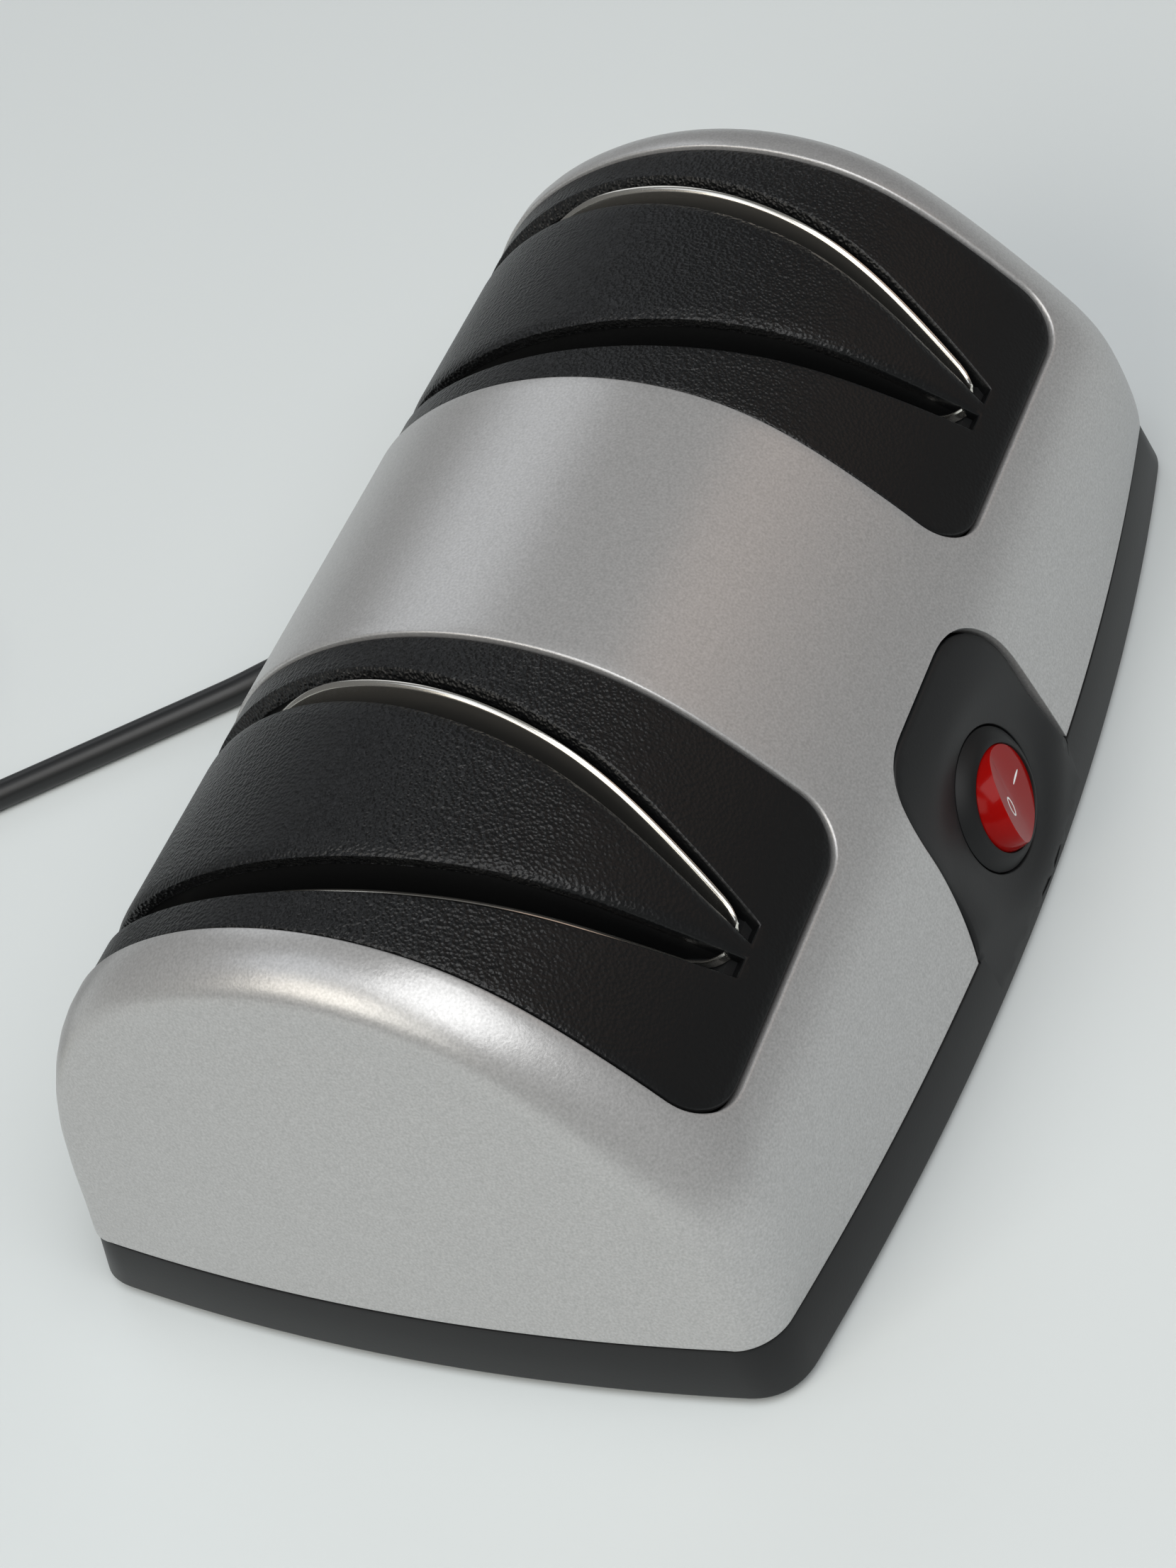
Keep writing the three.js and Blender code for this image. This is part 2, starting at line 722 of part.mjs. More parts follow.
// Silver arched shell, with an opening and a ledge for each guide cover
function upperHousing() {
  const skin = archBody();
  const coarseBody = (inset, footZ) => archBody({ inset, footZ, steps: liningSteps, spans: 2 });
  const lining = archBody({ inset: shellWall, footZ: rimZ - overrun, steps: liningSteps });
  const wall = skin.subtract(lining);
  const openings = stages.map(([, x]) => coverPrism(x, coverGap, bulgeFadeZ - overrun, crestZ + overrun));
  const panelHole = panelPrism(seamGap, frontCornerY - frontBulge - overrun, planMiddleY);
  const ledgeTop = coverRecess + coverWall + seatGap;
  const ledgeSkin = coarseBody(ledgeTop, rimZ - overrun);
  const ledgeLining = coarseBody(ledgeTop + ledgeWall, rimZ - overrun);
  const riserSkin = coarseBody(shellWall / 2, rimZ - overrun);
  const ledges = stages.flatMap(([, x]) => {
    const rim = coverPrism(x, coverGap + shellWall, bulgeFadeZ - overrun, crestZ);
    const seatBand = rim.subtract(coverPrism(x, -ledgeWidth, 0, crestZ + overrun));
    const riserBand = rim.subtract(coverPrism(x, coverGap, 0, crestZ + overrun));
    return [
      ledgeSkin.subtract(ledgeLining).intersect(seatBand),
      riserSkin.subtract(ledgeLining).intersect(riserBand),
    ];
  });
  const postBodies = posts.map(([, x, y]) =>
    toSolid(rod(postDiameter / 2, postFootZ, crestZ, smallRoundSteps).translate(x, y, 0))
      .intersect(coarseBody(shellWall / 2, 0)));
  const screwBores = posts.map(([, x, y]) =>
    toSolid(rod(screwDiameter / 2 + seatGap, 0, screwReach + footStandoff + screwHeadHeight + overrun,
      smallRoundSteps).translate(x, y, 0)));
  return cut(union(cut(wall, ...openings), ...ledges, ...postBodies), panelHole, ...screwBores);
}
addSolid('upper_housing', upperHousing(), silverPaint);

// Guide cover: arched skin, guide walls beside and under each slot, and windows for the wheels.
// Below the skin each slot is wider on its outer side, which is the spring's room.
function guideCover(x) {
  const prism = coverPrism(x, 0, slotFloorZ - coverSkirt, crestZ + overrun);
  const skin = archBody({ inset: coverRecess, steps: archSteps, spans: 2 });
  const under = archBody({ inset: coverRecess + coverWall, footZ: 0, steps: liningSteps, spans: 2 });
  const body = skin.intersect(prism);
  const shell = body.subtract(under);
  const low = slotFloorZ - guideWall;
  const inner = coverPrism(x, -ledgeWidth - coverGap, 0, crestZ + overrun);
  const troughs = sides.map(([, side]) =>
    slotWedge(x, side, { face: humpFace, extra: -guideWall },
      { face: outerFace, extra: springRoom + guideWall },
      slotFrontY - guideWall, coverBackY, low, crestZ).intersect(body).intersect(inner));
  const slotOf = (side, extra) =>
    slotWedge(x, side, { face: humpFace, extra: 0 }, { face: outerFace, extra },
      slotFrontY, coverBackY + overrun, slotFloorZ, crestZ + overrun);
  const slots = sides.flatMap(([, side]) => [slotOf(side, 0), slotOf(side, springRoom).intersect(under)]);
  const windows = sides.map(([, side]) => {
    const middle = wheelOffset + wheelThickness / 2;
    const half = wheelThickness / 2 + wheelCone + seatGap;
    return toSolid(onShaft(rod(wheelDiameter / 2 + wheelWindow, -half, half), x + side * middle));
  });
  return cut(union(shell, ...troughs), ...slots, ...windows);
}
stages.forEach(([name, x]) => addSolid(`${name}_guide_cover`, guideCover(x), grainedPlastic));

// Leaf spring: one thin sheet that stands inside a slot's outer face, its lip curled outward
function leafSpring(stage, side) {
  const rootZ = slotFloorZ + seatGap;
  const topAt = (y) => {
    const share = archShareWhere((point) => point.x >= y);
    const drop = (coverRecess + springLipDrop) / archCurve.getTangentAt(share).x;
    return archCurve.getPointAt(share).y - drop;
  };
  const clear = wheelDiameter / 2 + springArch;
  const footAt = (y) => Math.max(rootZ, shaftZ + Math.sqrt(Math.max(0, clear * clear - (y - shaftY) ** 2)));
  const ringAt = (y) => {
    const foot = footAt(y);
    const top = Math.max(topAt(y), foot + 2 * springLipHeight);
    const at = (aside, z) =>
      new THREE.Vector3(stage + side * (faceOffset(outerFace, y, z) - springStandoff + aside), y, z);
    return [
      at(-springWall, foot),
      at(0, foot),
      at(0, top - springLipHeight),
      at(springLip, top - springWall),
      at(springLip, top),
      at(-springWall, top),
    ];
  };
  const rings = Array.from({ length: springSteps + 1 }, (_, i) =>
    ringAt(lerp(springFrontY, springBackY, i / springSteps)));
  return loft(rings);
}
stages.forEach(([name, x]) => sides.forEach(([sideName, side]) =>
  addNode(`${name}_spring_${sideName}`, leafSpring(x, side), springSteel)));

// Rocker switch
const rockerBall = Math.hypot(rockerDiameter / 2, rockerPivot);
function switchBody() {
  const bore = rockerDiameter / 2 + rockerGap;
  const flange = switchDiameter / 2;
  const caseRadius = switchCaseDiameter / 2;
  const floor = -rockerPivot - rockerBall - rockerGap;
  return turned([
    [0, -switchCaseDepth], [caseRadius, -switchCaseDepth], [caseRadius, -switchFlange],
    [flange, -switchFlange], [flange, 0], [bore, switchDome], [bore, floor], [0, floor],
  ]);
}
addNode('switch_body', onPanel(switchBody()), switchBlack);

// The rocker: a ball about its pivot, cut below by a floor and above by two planes.
// The pressed half falls a little outward, and the other stands up by the rest of the rocker's swing.
function rockerBody() {
  const reach = rockerBall + overrun;
  const foot = rockerGap - rockerDepth;
  const shape = new THREE.Shape();
  shape.moveTo(-reach, foot);
  shape.lineTo(reach, foot);
  shape.lineTo(reach, rockerRise - reach * Math.tan(degToRad(rockerFall)));
  shape.lineTo(0, rockerRise);
  shape.lineTo(-reach, rockerRise + reach * Math.tan(degToRad(rockerSwing - rockerFall)));
  const profile = pushedAlongY(shape, -reach, reach);
  const sphere = new THREE.SphereGeometry(rockerBall, roundSteps, smallRoundSteps).translate(0, 0, -rockerPivot);
  return toSolid(sphere).intersect(toSolid(profile));
}
addNode('switch_rocker', onPanel(toGeometry(rockerBody()).rotateZ(degToRad(rockerTurn))), redPlastic);

sides.forEach(([sideName, side]) => {
  const blade = new THREE.BoxGeometry(terminalWidth, terminalThickness, terminalLength);
  blade.translate(0, side * terminalSpacing / 2, -switchCaseDepth - seatGap - terminalLength / 2);
  addNode(`switch_terminal_${sideName}`, onPanel(blade), brass);
});

// Motor: two through bolts hold its stack between the bearing brackets
const bushX = statorThickness / 2 + bracketStand + bracketThickness / 2;
const boltRadius = (bracketSpan - bracketLeg) / 2;
const bolts = [['upper', 1], ['lower', -1]];

function boltHoles() {
  const reach = bushX + bushLength;
  return bolts.map(([, way]) =>
    toSolid(onShaft(rod(boltDiameter / 2 + seatGap, -reach, reach, smallRoundSteps), 0)
      .translate(0, 0, way * boltRadius)));
}

function statorStack() {
  const half = statorHeight / 2;
  const shape = new THREE.Shape();
  shape.moveTo(statorFrontY, shaftZ - half);
  shape.lineTo(statorBackY, shaftZ - half);
  shape.lineTo(statorBackY, shaftZ + half);
  shape.lineTo(statorFrontY, shaftZ + half);
  const bore = new THREE.Path();
  bore.absarc(shaftY, shaftZ, rotorDiameter / 2 + airGap, 0, Math.PI * 2, true);
  const windowFront = statorFrontY + statorLeg;
  const opening = new THREE.Path();
  opening.moveTo(windowFront, shaftZ - windowHeight / 2);
  opening.lineTo(windowFront, shaftZ + windowHeight / 2);
  opening.lineTo(windowFront + windowWidth, shaftZ + windowHeight / 2);
  opening.lineTo(windowFront + windowWidth, shaftZ - windowHeight / 2);
  shape.holes.push(bore, opening);
  const stack = pushedAlongX(shape, -statorThickness / 2, statorThickness / 2, smallRoundSteps);
  return cut(toSolid(stack), ...boltHoles());
}
addSolid('motor_stator', statorStack(), lamination);

function coilBody() {
  const front = statorFrontY - coilWall;
  const back = statorFrontY + statorLeg + coilWall;
  const half = windowHeight / 2 - seatGap;
  const outer = block(-windingLength / 2, windingLength / 2, front, back, shaftZ - half, shaftZ + half);
  const leg = block(-statorThickness / 2 - seatGap, statorThickness / 2 + seatGap,
    statorFrontY - seatGap, statorFrontY + statorLeg + seatGap, 0, crestZ);
  return outer.subtract(leg);
}
addSolid('motor_coil', coilBody(), copper);

const shaftBore = shaftDiameter / 2 + seatGap;
const rotorBody = sleeve(shaftBore, rotorDiameter / 2, -rotorLength / 2, rotorLength / 2);
addNode('rotor', onShaft(rotorBody, 0), lamination);

// A bracket: a cross plate with the bush seat, on two legs that stand on the stack
function motorBracket(side) {
  const foot = side * (statorThickness / 2 + seatGap);
  const plateInner = side * (statorThickness / 2 + bracketStand);
  const plateOuter = plateInner + side * bracketThickness;
  const [p0, p1] = [Math.min(plateInner, plateOuter), Math.max(plateInner, plateOuter)];
  const [l0, l1] = [Math.min(foot, plateOuter), Math.max(foot, plateOuter)];
  const halfWidth = bracketWidth / 2;
  const reach = bracketSpan / 2;
  const plate = block(p0, p1, shaftY - halfWidth, shaftY + halfWidth, shaftZ - reach, shaftZ + reach);
  const legs = [-1, 1].map((way) => {
    const tip = shaftZ + way * reach;
    const root = shaftZ + way * (reach - bracketLeg);
    return block(l0, l1, shaftY - halfWidth, shaftY + halfWidth, Math.min(tip, root), Math.max(tip, root));
  });
  const bossRadius = bushDiameter / 2 + bracketThickness;
  const boss = toSolid(onShaft(rod(bossRadius, -bushLength / 2, bushLength / 2), side * bushX));
  const seat = toSolid(onShaft(rod(bushDiameter / 2 + seatGap, -bushLength, bushLength), side * bushX));
  return cut(union(plate, ...legs, boss), seat, ...boltHoles());
}
sides.forEach(([sideName, side]) => {
  addSolid(`motor_bracket_${sideName}`, motorBracket(side), castAlloy);
  const bush = (x) =>
    onShaft(sleeve(shaftBore, bushDiameter / 2, -bushLength / 2, bushLength / 2, smallRoundSteps), x);
  addNode(`motor_bearing_${sideName}`, bush(side * bushX), bronze);
  addNode(`end_bearing_${sideName}`, bush(side * pedestalX), bronze);
});

bolts.forEach(([name, way]) => {
  const reach = statorThickness / 2 + bracketStand + bracketThickness + seatGap;
  const end = reach + boltHeadLength;
  const head = boltHeadDiameter / 2;
  const shank = boltDiameter / 2;
  const bolt = turned([
    [0, -end], [head, -end], [head, -reach], [shank, -reach],
    [shank, reach], [head, reach], [head, end], [0, end],
  ], smallRoundSteps);
  addNode(`motor_bolt_${name}`, onShaft(bolt, 0).translate(0, 0, way * boltRadius), zincScrew);
});

const shaftBody = rod(shaftDiameter / 2, -shaftHalfLength, shaftHalfLength, smallRoundSteps);
addNode('drive_shaft', onShaft(shaftBody, 0), shaftSteel);

// Fan: a disc and hub with straight blades
function coolingFan() {
  const disc = toSolid(sleeve(shaftBore, fanDiameter / 2, -fanWidth / 2, fanDisc - fanWidth / 2));
  const hub = toSolid(sleeve(shaftBore, fanHubDiameter / 2, -fanWidth / 2, fanWidth / 2, smallRoundSteps));
  const blades = Array.from({ length: fanBlades }, (_, i) => {
    const blade = new THREE.BoxGeometry(fanDiameter / 2 - shaftBore - bladeWall, bladeWall, fanWidth);
    blade.translate(fanDiameter / 4 + shaftBore / 2, 0, 0).rotateZ(i * 2 * Math.PI / fanBlades);
    return toSolid(blade);
  });
  return union(disc, hub, ...blades);
}
addNode('cooling_fan', onShaft(toGeometry(coolingFan()), fanX), fanPlastic);

// Wheels in pairs: flat inner side, hub, and a cone on the side that meets the blade
function grindingWheel() {
  const hub = wheelHubDiameter / 2;
  const radius = wheelDiameter / 2;
  return turned([
    [shaftBore, 0], [radius - wheelCone, 0], [radius, wheelCone],
    [radius, wheelThickness - wheelCone], [radius - wheelCone, wheelThickness],
    [hub, wheelThickness], [hub, wheelHubLength], [shaftBore, wheelHubLength], [shaftBore, 0],
  ]);
}
stages.forEach(([name, x]) => {
  const grit = name === 'coarse' ? coarseGrit : fineGrit;
  sides.forEach(([sideName, side]) => {
    const wheel = grindingWheel();
    if (side < 0) wheel.rotateY(Math.PI);
    addNode(`${name}_wheel_${sideName}`, onShaft(wheel, x + side * wheelOffset), grit);
  });
  const spacer = wheelOffset - seatGap;
  const ring = (radius, half) => sleeve(shaftBore, radius, -half, half, smallRoundSteps);
  addNode(`${name}_spacer`, onShaft(ring(wheelHubDiameter / 2, spacer), x), shaftSteel);
  const collarX = x - Math.sign(x) * (wheelOffset + wheelHubLength + seatGap + collarLength / 2);
  addNode(`${name}_collar`, onShaft(ring(collarDiameter / 2, collarLength / 2), collarX), shaftSteel);
});

// Rubber feet and housing screws
feet.forEach(([name, x, y]) => {
  const radius = footDiameter / 2;
  const foot = turned([
    [0, 0], [radius - edgeBreak, 0], [radius, edgeBreak], [radius, footHeight], [0, footHeight],
  ], smallRoundSteps);
  addNode(`foot_${name}`, foot.translate(x, y, 0), rubber);
});

posts.forEach(([name, x, y]) => {
  const head = screwHeadDiameter / 2;
  const shank = screwDiameter / 2;
  const top = screwHeadHeight + screwReach;
  const screw = turned([
    [0, 0], [head, 0], [head, screwHeadHeight], [shank, screwHeadHeight], [shank, top], [0, top + shank],
  ], smallRoundSteps);
  addNode(`screw_${name}`, screw.translate(x, y, footStandoff), zincScrew);
});

// Cord route: chosen by hand, from the strain relief's tip to the coil
const cordPoints = [
  [31.9, 89.5, 4.4],
  [28.2, 95.7, 3.2],
  [24.9, 99.9, 2.75],
  [21.3, 104.2, 2.7],
  [13, 114.3, 2.7],
  [4.8, 124.3, 2.7],
  [-2.8, 133.6, 2.7],
  [-11, 143.7, 2.7],
  [-19.8, 154.4, 2.7],
  [-28.1, 164.6, 3.1],
];
const cordWay = (from, to) => new THREE.Vector3(...to).sub(new THREE.Vector3(...from)).normalize();

// Strain relief: a boot that starts square to the back wall and leans with the cord
function strainRelief() {
  const wallBack = backY;
  const bend = reliefShares.map(([along, aside, down]) => new THREE.Vector3(
    cordExitX - reliefLength * aside, wallBack + reliefLength * along, cordExitZ - reliefLength * down));
  const path = new THREE.CatmullRomCurve3([...bend, new THREE.Vector3(...cordPoints[0])]);
  const rings = Array.from({ length: springSteps + 1 }, (_, i) => {
    const t = i / springSteps;
    const radius = lerp(reliefRootDiameter, reliefTipDiameter, t) / 2;
    const way = t < 1 ? path.getTangent(t) : cordWay(cordPoints[0], cordPoints[1]);
    return tubeRing(path.getPoint(t), way, radius, smallRoundSteps);
  });
  const boot = toSolid(loft(rings));
  const neckBack = -baseWall - rimInset - reliefFlange;
  const neck = toSolid(rod(reliefNeckDiameter / 2, neckBack, overrun / 2, smallRoundSteps)
    .rotateX(-Math.PI / 2).translate(cordExitX, wallBack, cordExitZ));
  return union(boot, neck);
}

// A ring of points round a path point, square to its direction and level at its foot
function tubeRing(centre, direction, radius, count) {
  const side = new THREE.Vector3(0, 0, 1).cross(direction).normalize();
  const lift = new THREE.Vector3().crossVectors(direction, side).normalize();
  return Array.from({ length: count }, (_, i) => {
    const angle = 2 * Math.PI * (i + 0.5) / count;
    return centre.clone()
      .addScaledVector(side, radius * Math.sin(angle))
      .addScaledVector(lift, radius * Math.cos(angle));
  });
}

// Coil: winds in on the floor layer, climbs in the half turn where it reverses, and winds out on top
const coilPitch = cordDiameter + cordSpare;
function coilPoint(turns) {
  const middle = coilTurns / 2;
  const fromMiddle = Math.abs(turns - middle);
  const radius = coilMeanRadius + coilPitch * (fromMiddle - middle / 2);
  const angle = degToRad(coilEntryAngle) - turns * 2 * Math.PI;
  const climb = THREE.MathUtils.smoothstep(turns, middle - coilClimbTurns, middle + coilClimbTurns);
  return new THREE.Vector3(
    coilCentreX + radius * Math.cos(angle), coilCentreY + radius * Math.sin(angle),
    coilLowZ + climb * coilPitch);
}
const coilLowZ = cordDiameter / 2 + tieThickness + seatGap;

// The coil's centreline: a straight lead in, the turns, and a straight lead out
const leadInWay = coilWay(0, 1);
const leadOutWay = coilWay(coilTurns, -1);
function coilWay(turns, sense) {
  const nudge = sense / searchSteps;
  return coilPoint(turns).sub(coilPoint(turns + nudge)).setZ(0).normalize();
}

function coilPath() {
  const count = Math.round(coilTurns * loopSteps);
  const turns = Array.from({ length: count + 1 }, (_, i) => coilPoint(coilTurns * i / count));
  const leadIn = turns[0].clone().addScaledVector(leadInWay, cordDiameter);
  const leadOut = turns[count].clone().addScaledVector(leadOutWay, cordDiameter);
  return [leadIn, ...turns, leadOut];
}

// A tube through points, one ring at each, square to the given ways at its start and end
function tubeThrough(points, radius, count, startWay, endWay) {
  const rings = points.map((p, i) => {
    if (i === 0) return tubeRing(p, startWay, radius, count);
    if (i === points.length - 1) return tubeRing(p, endWay, radius, count);
    return tubeRing(p, points[i + 1].clone().sub(points[i - 1]).normalize(), radius, count);
  });
  return loft(rings);
}

// The least clear gap between stretches of the coil more than half a turn apart
function leastGap(points, reach) {
  let least = Infinity;
  points.forEach((p, i) => {
    points.slice(i + reach).forEach((q) => {
      least = Math.min(least, p.distanceTo(q));
    });
  });
  return least - cordDiameter;
}

// Points at even steps between the coil's own rings, for the gap measure
function coilSamples() {
  const perTurn = loopSteps * 4;
  const count = Math.round(coilTurns * perTurn);
  const points = Array.from({ length: count + 1 }, (_, i) => coilPoint(coilTurns * i / count));
  return { points, reach: perTurn / 2 };
}

addNode('strain_relief', toGeometry(strainRelief()), cordPvc);

const coilLine = coilPath();
const samples = coilSamples();
console.log(`cord_coil least gap to itself: ${leastGap(samples.points, samples.reach).toFixed(2)} mm`);
const coilInward = leadInWay.clone().negate();
addNode('cord_coil', tubeThrough(coilLine, cordDiameter / 2, tubeSides, coilInward, leadOutWay), cordPvc);

// Free stretch: from the boot's tip to the coil's lead in
function cordRun() {
  const startWay = cordWay(cordPoints[0], cordPoints[1]);
  const start = new THREE.Vector3(...cordPoints[0]).addScaledVector(startWay, seatGap);
  const end = coilLine[0].clone().addScaledVector(leadInWay, seatGap);
  const middle = cordPoints.slice(1).map((p) => new THREE.Vector3(...p));
  const path = new THREE.CatmullRomCurve3([start, ...middle, end]);
  const total = reliefLength + path.getLength() + lengthOf(coilLine) + lengthOf(tailLine) + plugNeckLength;
  console.log(`cord length: ${total.toFixed(0)} mm`);
  return tubeThrough(path.getSpacedPoints(cordRunSteps), cordDiameter / 2, runSides, startWay, coilInward);
}
const lengthOf = (line) => line.slice(1).reduce((sum, p, i) => sum + p.distanceTo(line[i]), 0);

// Short tail: level over the free stretch, then down to the plug's height. Distance and drop.
const tailPoints = [[seatGap, 0], [8, 0], [15, -0.1], [20, -0.8], [26, -2.2], [32, -2.55]];
const tailEnd = coilLine[coilLine.length - 1];
const tailLine = tailPoints.map(([along, drop]) =>
  tailEnd.clone().addScaledVector(leadOutWay, along).add(new THREE.Vector3(0, 0, drop)));
addNode('cord_run', cordRun(), cordPvc);
addNode('cord_tail', tubeThrough(tailLine, cordDiameter / 2, runSides, leadOutWay, leadOutWay), cordPvc);

// Tie: a flat band round all the turns at one place
function cordTie() {
  const clear = cordDiameter / 2 + seatGap;
  const half = (coilTurns / 4) * coilPitch + clear;
  const low = coilLowZ - clear;
  const high = coilLowZ + coilPitch + clear;
  const corner = cordDiameter / 2;
  const band = (margin) => {
    const x0 = coilMeanRadius - half - margin;
    const x1 = coilMeanRadius + half + margin;
    const y0 = low - margin;
    const y1 = high + margin;
    const r = corner + margin;
    const shape = new THREE.Shape();
    shape.absarc(x1 - r, y0 + r, r, -Math.PI / 2, 0);
    shape.absarc(x1 - r, y1 - r, r, 0, Math.PI / 2);
    shape.absarc(x0 + r, y1 - r, r, Math.PI / 2, Math.PI);
    shape.absarc(x0 + r, y0 + r, r, Math.PI, Math.PI * 3 / 2);
    return shape;
  };
  const outer = band(tieThickness);
  outer.holes.push(new THREE.Path(band(0).getPoints(curveSteps)));
  const geometry = pushed(outer, tieWidth, curveSteps);
  geometry.translate(0, 0, -tieWidth / 2).rotateX(Math.PI / 2).rotateZ(degToRad(tieAngle));
  return geometry.translate(coilCentreX, coilCentreY, 0);
}
addNode('cord_tie', cordTie(), rubber);

// Two-pin plug: it lies flat past the coil's lead out, its neck level with the cord
function plugFrame() {
  const start = tailLine[tailLine.length - 1].clone().addScaledVector(leadOutWay, seatGap);
  const turn = Math.atan2(leadOutWay.y, leadOutWay.x);
  return (geometry) => geometry.rotateZ(turn).translate(...start.toArray());
}
const atPlug = plugFrame();

// Section of the plug at a distance along it: a flattened oval of a width and a thickness
function plugRing(along, width, thickness) {
  return Array.from({ length: smallRoundSteps }, (_, i) => {
    const angle = 2 * Math.PI * i / smallRoundSteps;
    const squared = (value) => Math.sign(value) * Math.abs(value) ** plugSquareShare;
    const across = squared(Math.cos(angle)) * width / 2;
    return new THREE.Vector3(along, across, squared(Math.sin(angle)) * thickness / 2);
  });
}

function plugBody() {
  const body = toSolid(loft(plugProfile.map((section) => plugRing(...section))));
  const sockets = sides.map(([, side]) =>
    toSolid(alongX(rod(pinDiameter / 2 + seatGap, 0, pinSocket + overrun, smallRoundSteps))
      .translate(plugFace - pinSocket, side * pinSpacing / 2, 0)));
  return cut(body, ...sockets);
}
addNode('plug_body', atPlug(toGeometry(plugBody())), cordPvc);
sides.forEach(([name, side]) => {
  const start = plugFace - pinSocket + seatGap;
  const end = plugFace + pinLength;
  const radius = pinDiameter / 2;
  const outline = [[0, start], [radius, start], [radius, end - pinTip], [radius - pinTip, end], [0, end]];
  const pin = turned(outline, smallRoundSteps);
  addNode(`plug_pin_${name}`, atPlug(alongX(pin).translate(0, side * pinSpacing / 2, 0)), brass);
});

export default group;
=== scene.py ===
"""An electric knife sharpener: a silver arched housing on a black tray, two black guide covers with
knife slots, a red rocker switch on a black panel, and a round mains cord at the back."""

import math

import bpy
import numpy as np
from mathutils import Matrix, Vector
from mathutils.geometry import delaunay_2d_cdt


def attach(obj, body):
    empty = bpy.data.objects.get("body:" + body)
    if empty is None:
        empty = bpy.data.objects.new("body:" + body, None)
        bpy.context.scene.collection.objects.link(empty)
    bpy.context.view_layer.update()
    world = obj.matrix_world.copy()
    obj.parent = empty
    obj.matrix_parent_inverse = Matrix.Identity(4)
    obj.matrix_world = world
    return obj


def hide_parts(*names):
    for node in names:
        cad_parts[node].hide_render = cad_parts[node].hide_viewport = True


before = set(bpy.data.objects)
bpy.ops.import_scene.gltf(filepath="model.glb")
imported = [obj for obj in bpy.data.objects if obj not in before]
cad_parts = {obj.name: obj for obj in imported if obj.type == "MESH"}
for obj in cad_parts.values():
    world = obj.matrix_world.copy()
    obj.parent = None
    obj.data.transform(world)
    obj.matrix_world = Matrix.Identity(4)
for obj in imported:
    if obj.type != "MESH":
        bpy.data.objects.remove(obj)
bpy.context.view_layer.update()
bpy.ops.object.select_all(action="DESELECT")

# Camera: it stands in front of the sharpener's left end and above it, and looks along the housing.
# Its place and lens were fitted to the object's outlines.
MM = 0.001
lens_mm = 77.5
sensor_mm = 36
camera_place = Vector((-320.15, -241.66, 402.48)) * MM
camera_right = Vector((0.3586965, -0.8877898, -0.2883853))
camera_down = Vector((-0.7411463, -0.0830466, -0.6661873))
camera_turn = Matrix((camera_right, -camera_down, camera_right.cross(-camera_down))).transposed()
bpy.ops.object.camera_add(location=camera_place, rotation=camera_turn.to_euler())
camera = bpy.context.object
camera.data.lens = lens_mm
camera.data.sensor_width = sensor_mm
camera.data.clip_start = 10 * MM
bpy.context.scene.camera = camera
bpy.context.scene.view_settings.view_transform = "Standard"


# Mains cord: round black PVC, 5.4 mm thick. It leaves the back wall through its strain relief, lies
# on the worktop out of the picture, and the rest is wound into a tied coil behind the housing.
def linear(hex_colour):
    """An sRGB hex colour as linear red, green, blue and alpha."""
    parts = [int(hex_colour[i : i + 2], 16) / 255 for i in (1, 3, 5)]
    return (*[p / 12.92 if p <= 0.04045 else ((p + 0.055) / 1.055) ** 2.4 for p in parts], 1)


def add_node(tree, kind, sockets=None, **settings):
    """Adds a shader node with its settings, and sets or links its sockets."""
    made = tree.nodes.new("ShaderNode" + kind)
    for name, value in settings.items():
        setattr(made, name, value)
    for name, value in (sockets or {}).items():
        if isinstance(value, bpy.types.NodeSocket):
            tree.links.new(value, made.inputs[name])
        else:
            made.inputs[name].default_value = value
    return made


def new_finish(name, hex_colour, roughness, metallic=0.0, **plain):
    """A material with one colour to start from. Returns it, its nodes and its shader."""
    material = bpy.data.materials.new(name)
    material.use_nodes = True
    tree = material.node_tree
    shader = tree.nodes["Principled BSDF"]
    values = {"Base Color": linear(hex_colour), "Roughness": roughness, "Metallic": metallic}
    values.update({key.replace("_", " "): value for key, value in plain.items()})
    for socket, value in values.items():
        shader.inputs[socket].default_value = value
    return material, tree, shader


def add_grain(tree, shader, grain_mm, height_mm, detail=2.0):
    """Gives a surface a fine random texture: the size of its grains and how high they stand."""
    place = add_node(tree, "TexCoord").outputs["Object"]
    pattern = {"Vector": place, "Scale": 1 / (grain_mm * MM), "Detail": detail}
    noise = add_node(tree, "TexNoise", pattern)
    relief = {"Height": noise.outputs["Fac"], "Distance": height_mm * MM, "Strength": 1.0}
    bump = add_node(tree, "Bump", relief)
    tree.links.new(bump.outputs["Normal"], shader.inputs["Normal"])


def clothe(piece, material):
    """Gives a piece one material all over."""
    piece.data.materials.clear()
    piece.data.materials.append(material)


# Extruded flexible PVC: black, with a soft sheen and a faint ripple from the die.
cord_pvc, tree, shader = new_finish("extruded_pvc_black", "#161718", 0.38)
add_grain(tree, shader, 1.6, 0.012)

cord_diameter = 5.4
back_wall_y = 65.55
cord_exit = (34.7, back_wall_y, 7.2)
relief_bend = [(34.7, 73.95, 7.2), (33.86, 82.35, 6.29)]
cord_rest_z = 2.7
floor_way = [
    (31.9, 89.5, 4.4), (28.2, 95.7, 3.2), (24.9, 99.9, 2.75), (21.3, 104.2, cord_rest_z),
    (13, 114.3, cord_rest_z), (4.8, 124.3, cord_rest_z), (-2.8, 133.6, cord_rest_z),
    (-11, 143.7, cord_rest_z), (-19.8, 154.4, cord_rest_z), (-28.1, 164.6, 3.1),
]
coil_centre = (-7.2, 199.7)
coil_mean_radius = 29.9
coil_turns = 5.86
coil_entry = math.radians(219.3)
coil_pitch = 5.85
coil_low_z = 3.5
climb_turns = 0.25
steps_per_turn = 40
free_steps = 6
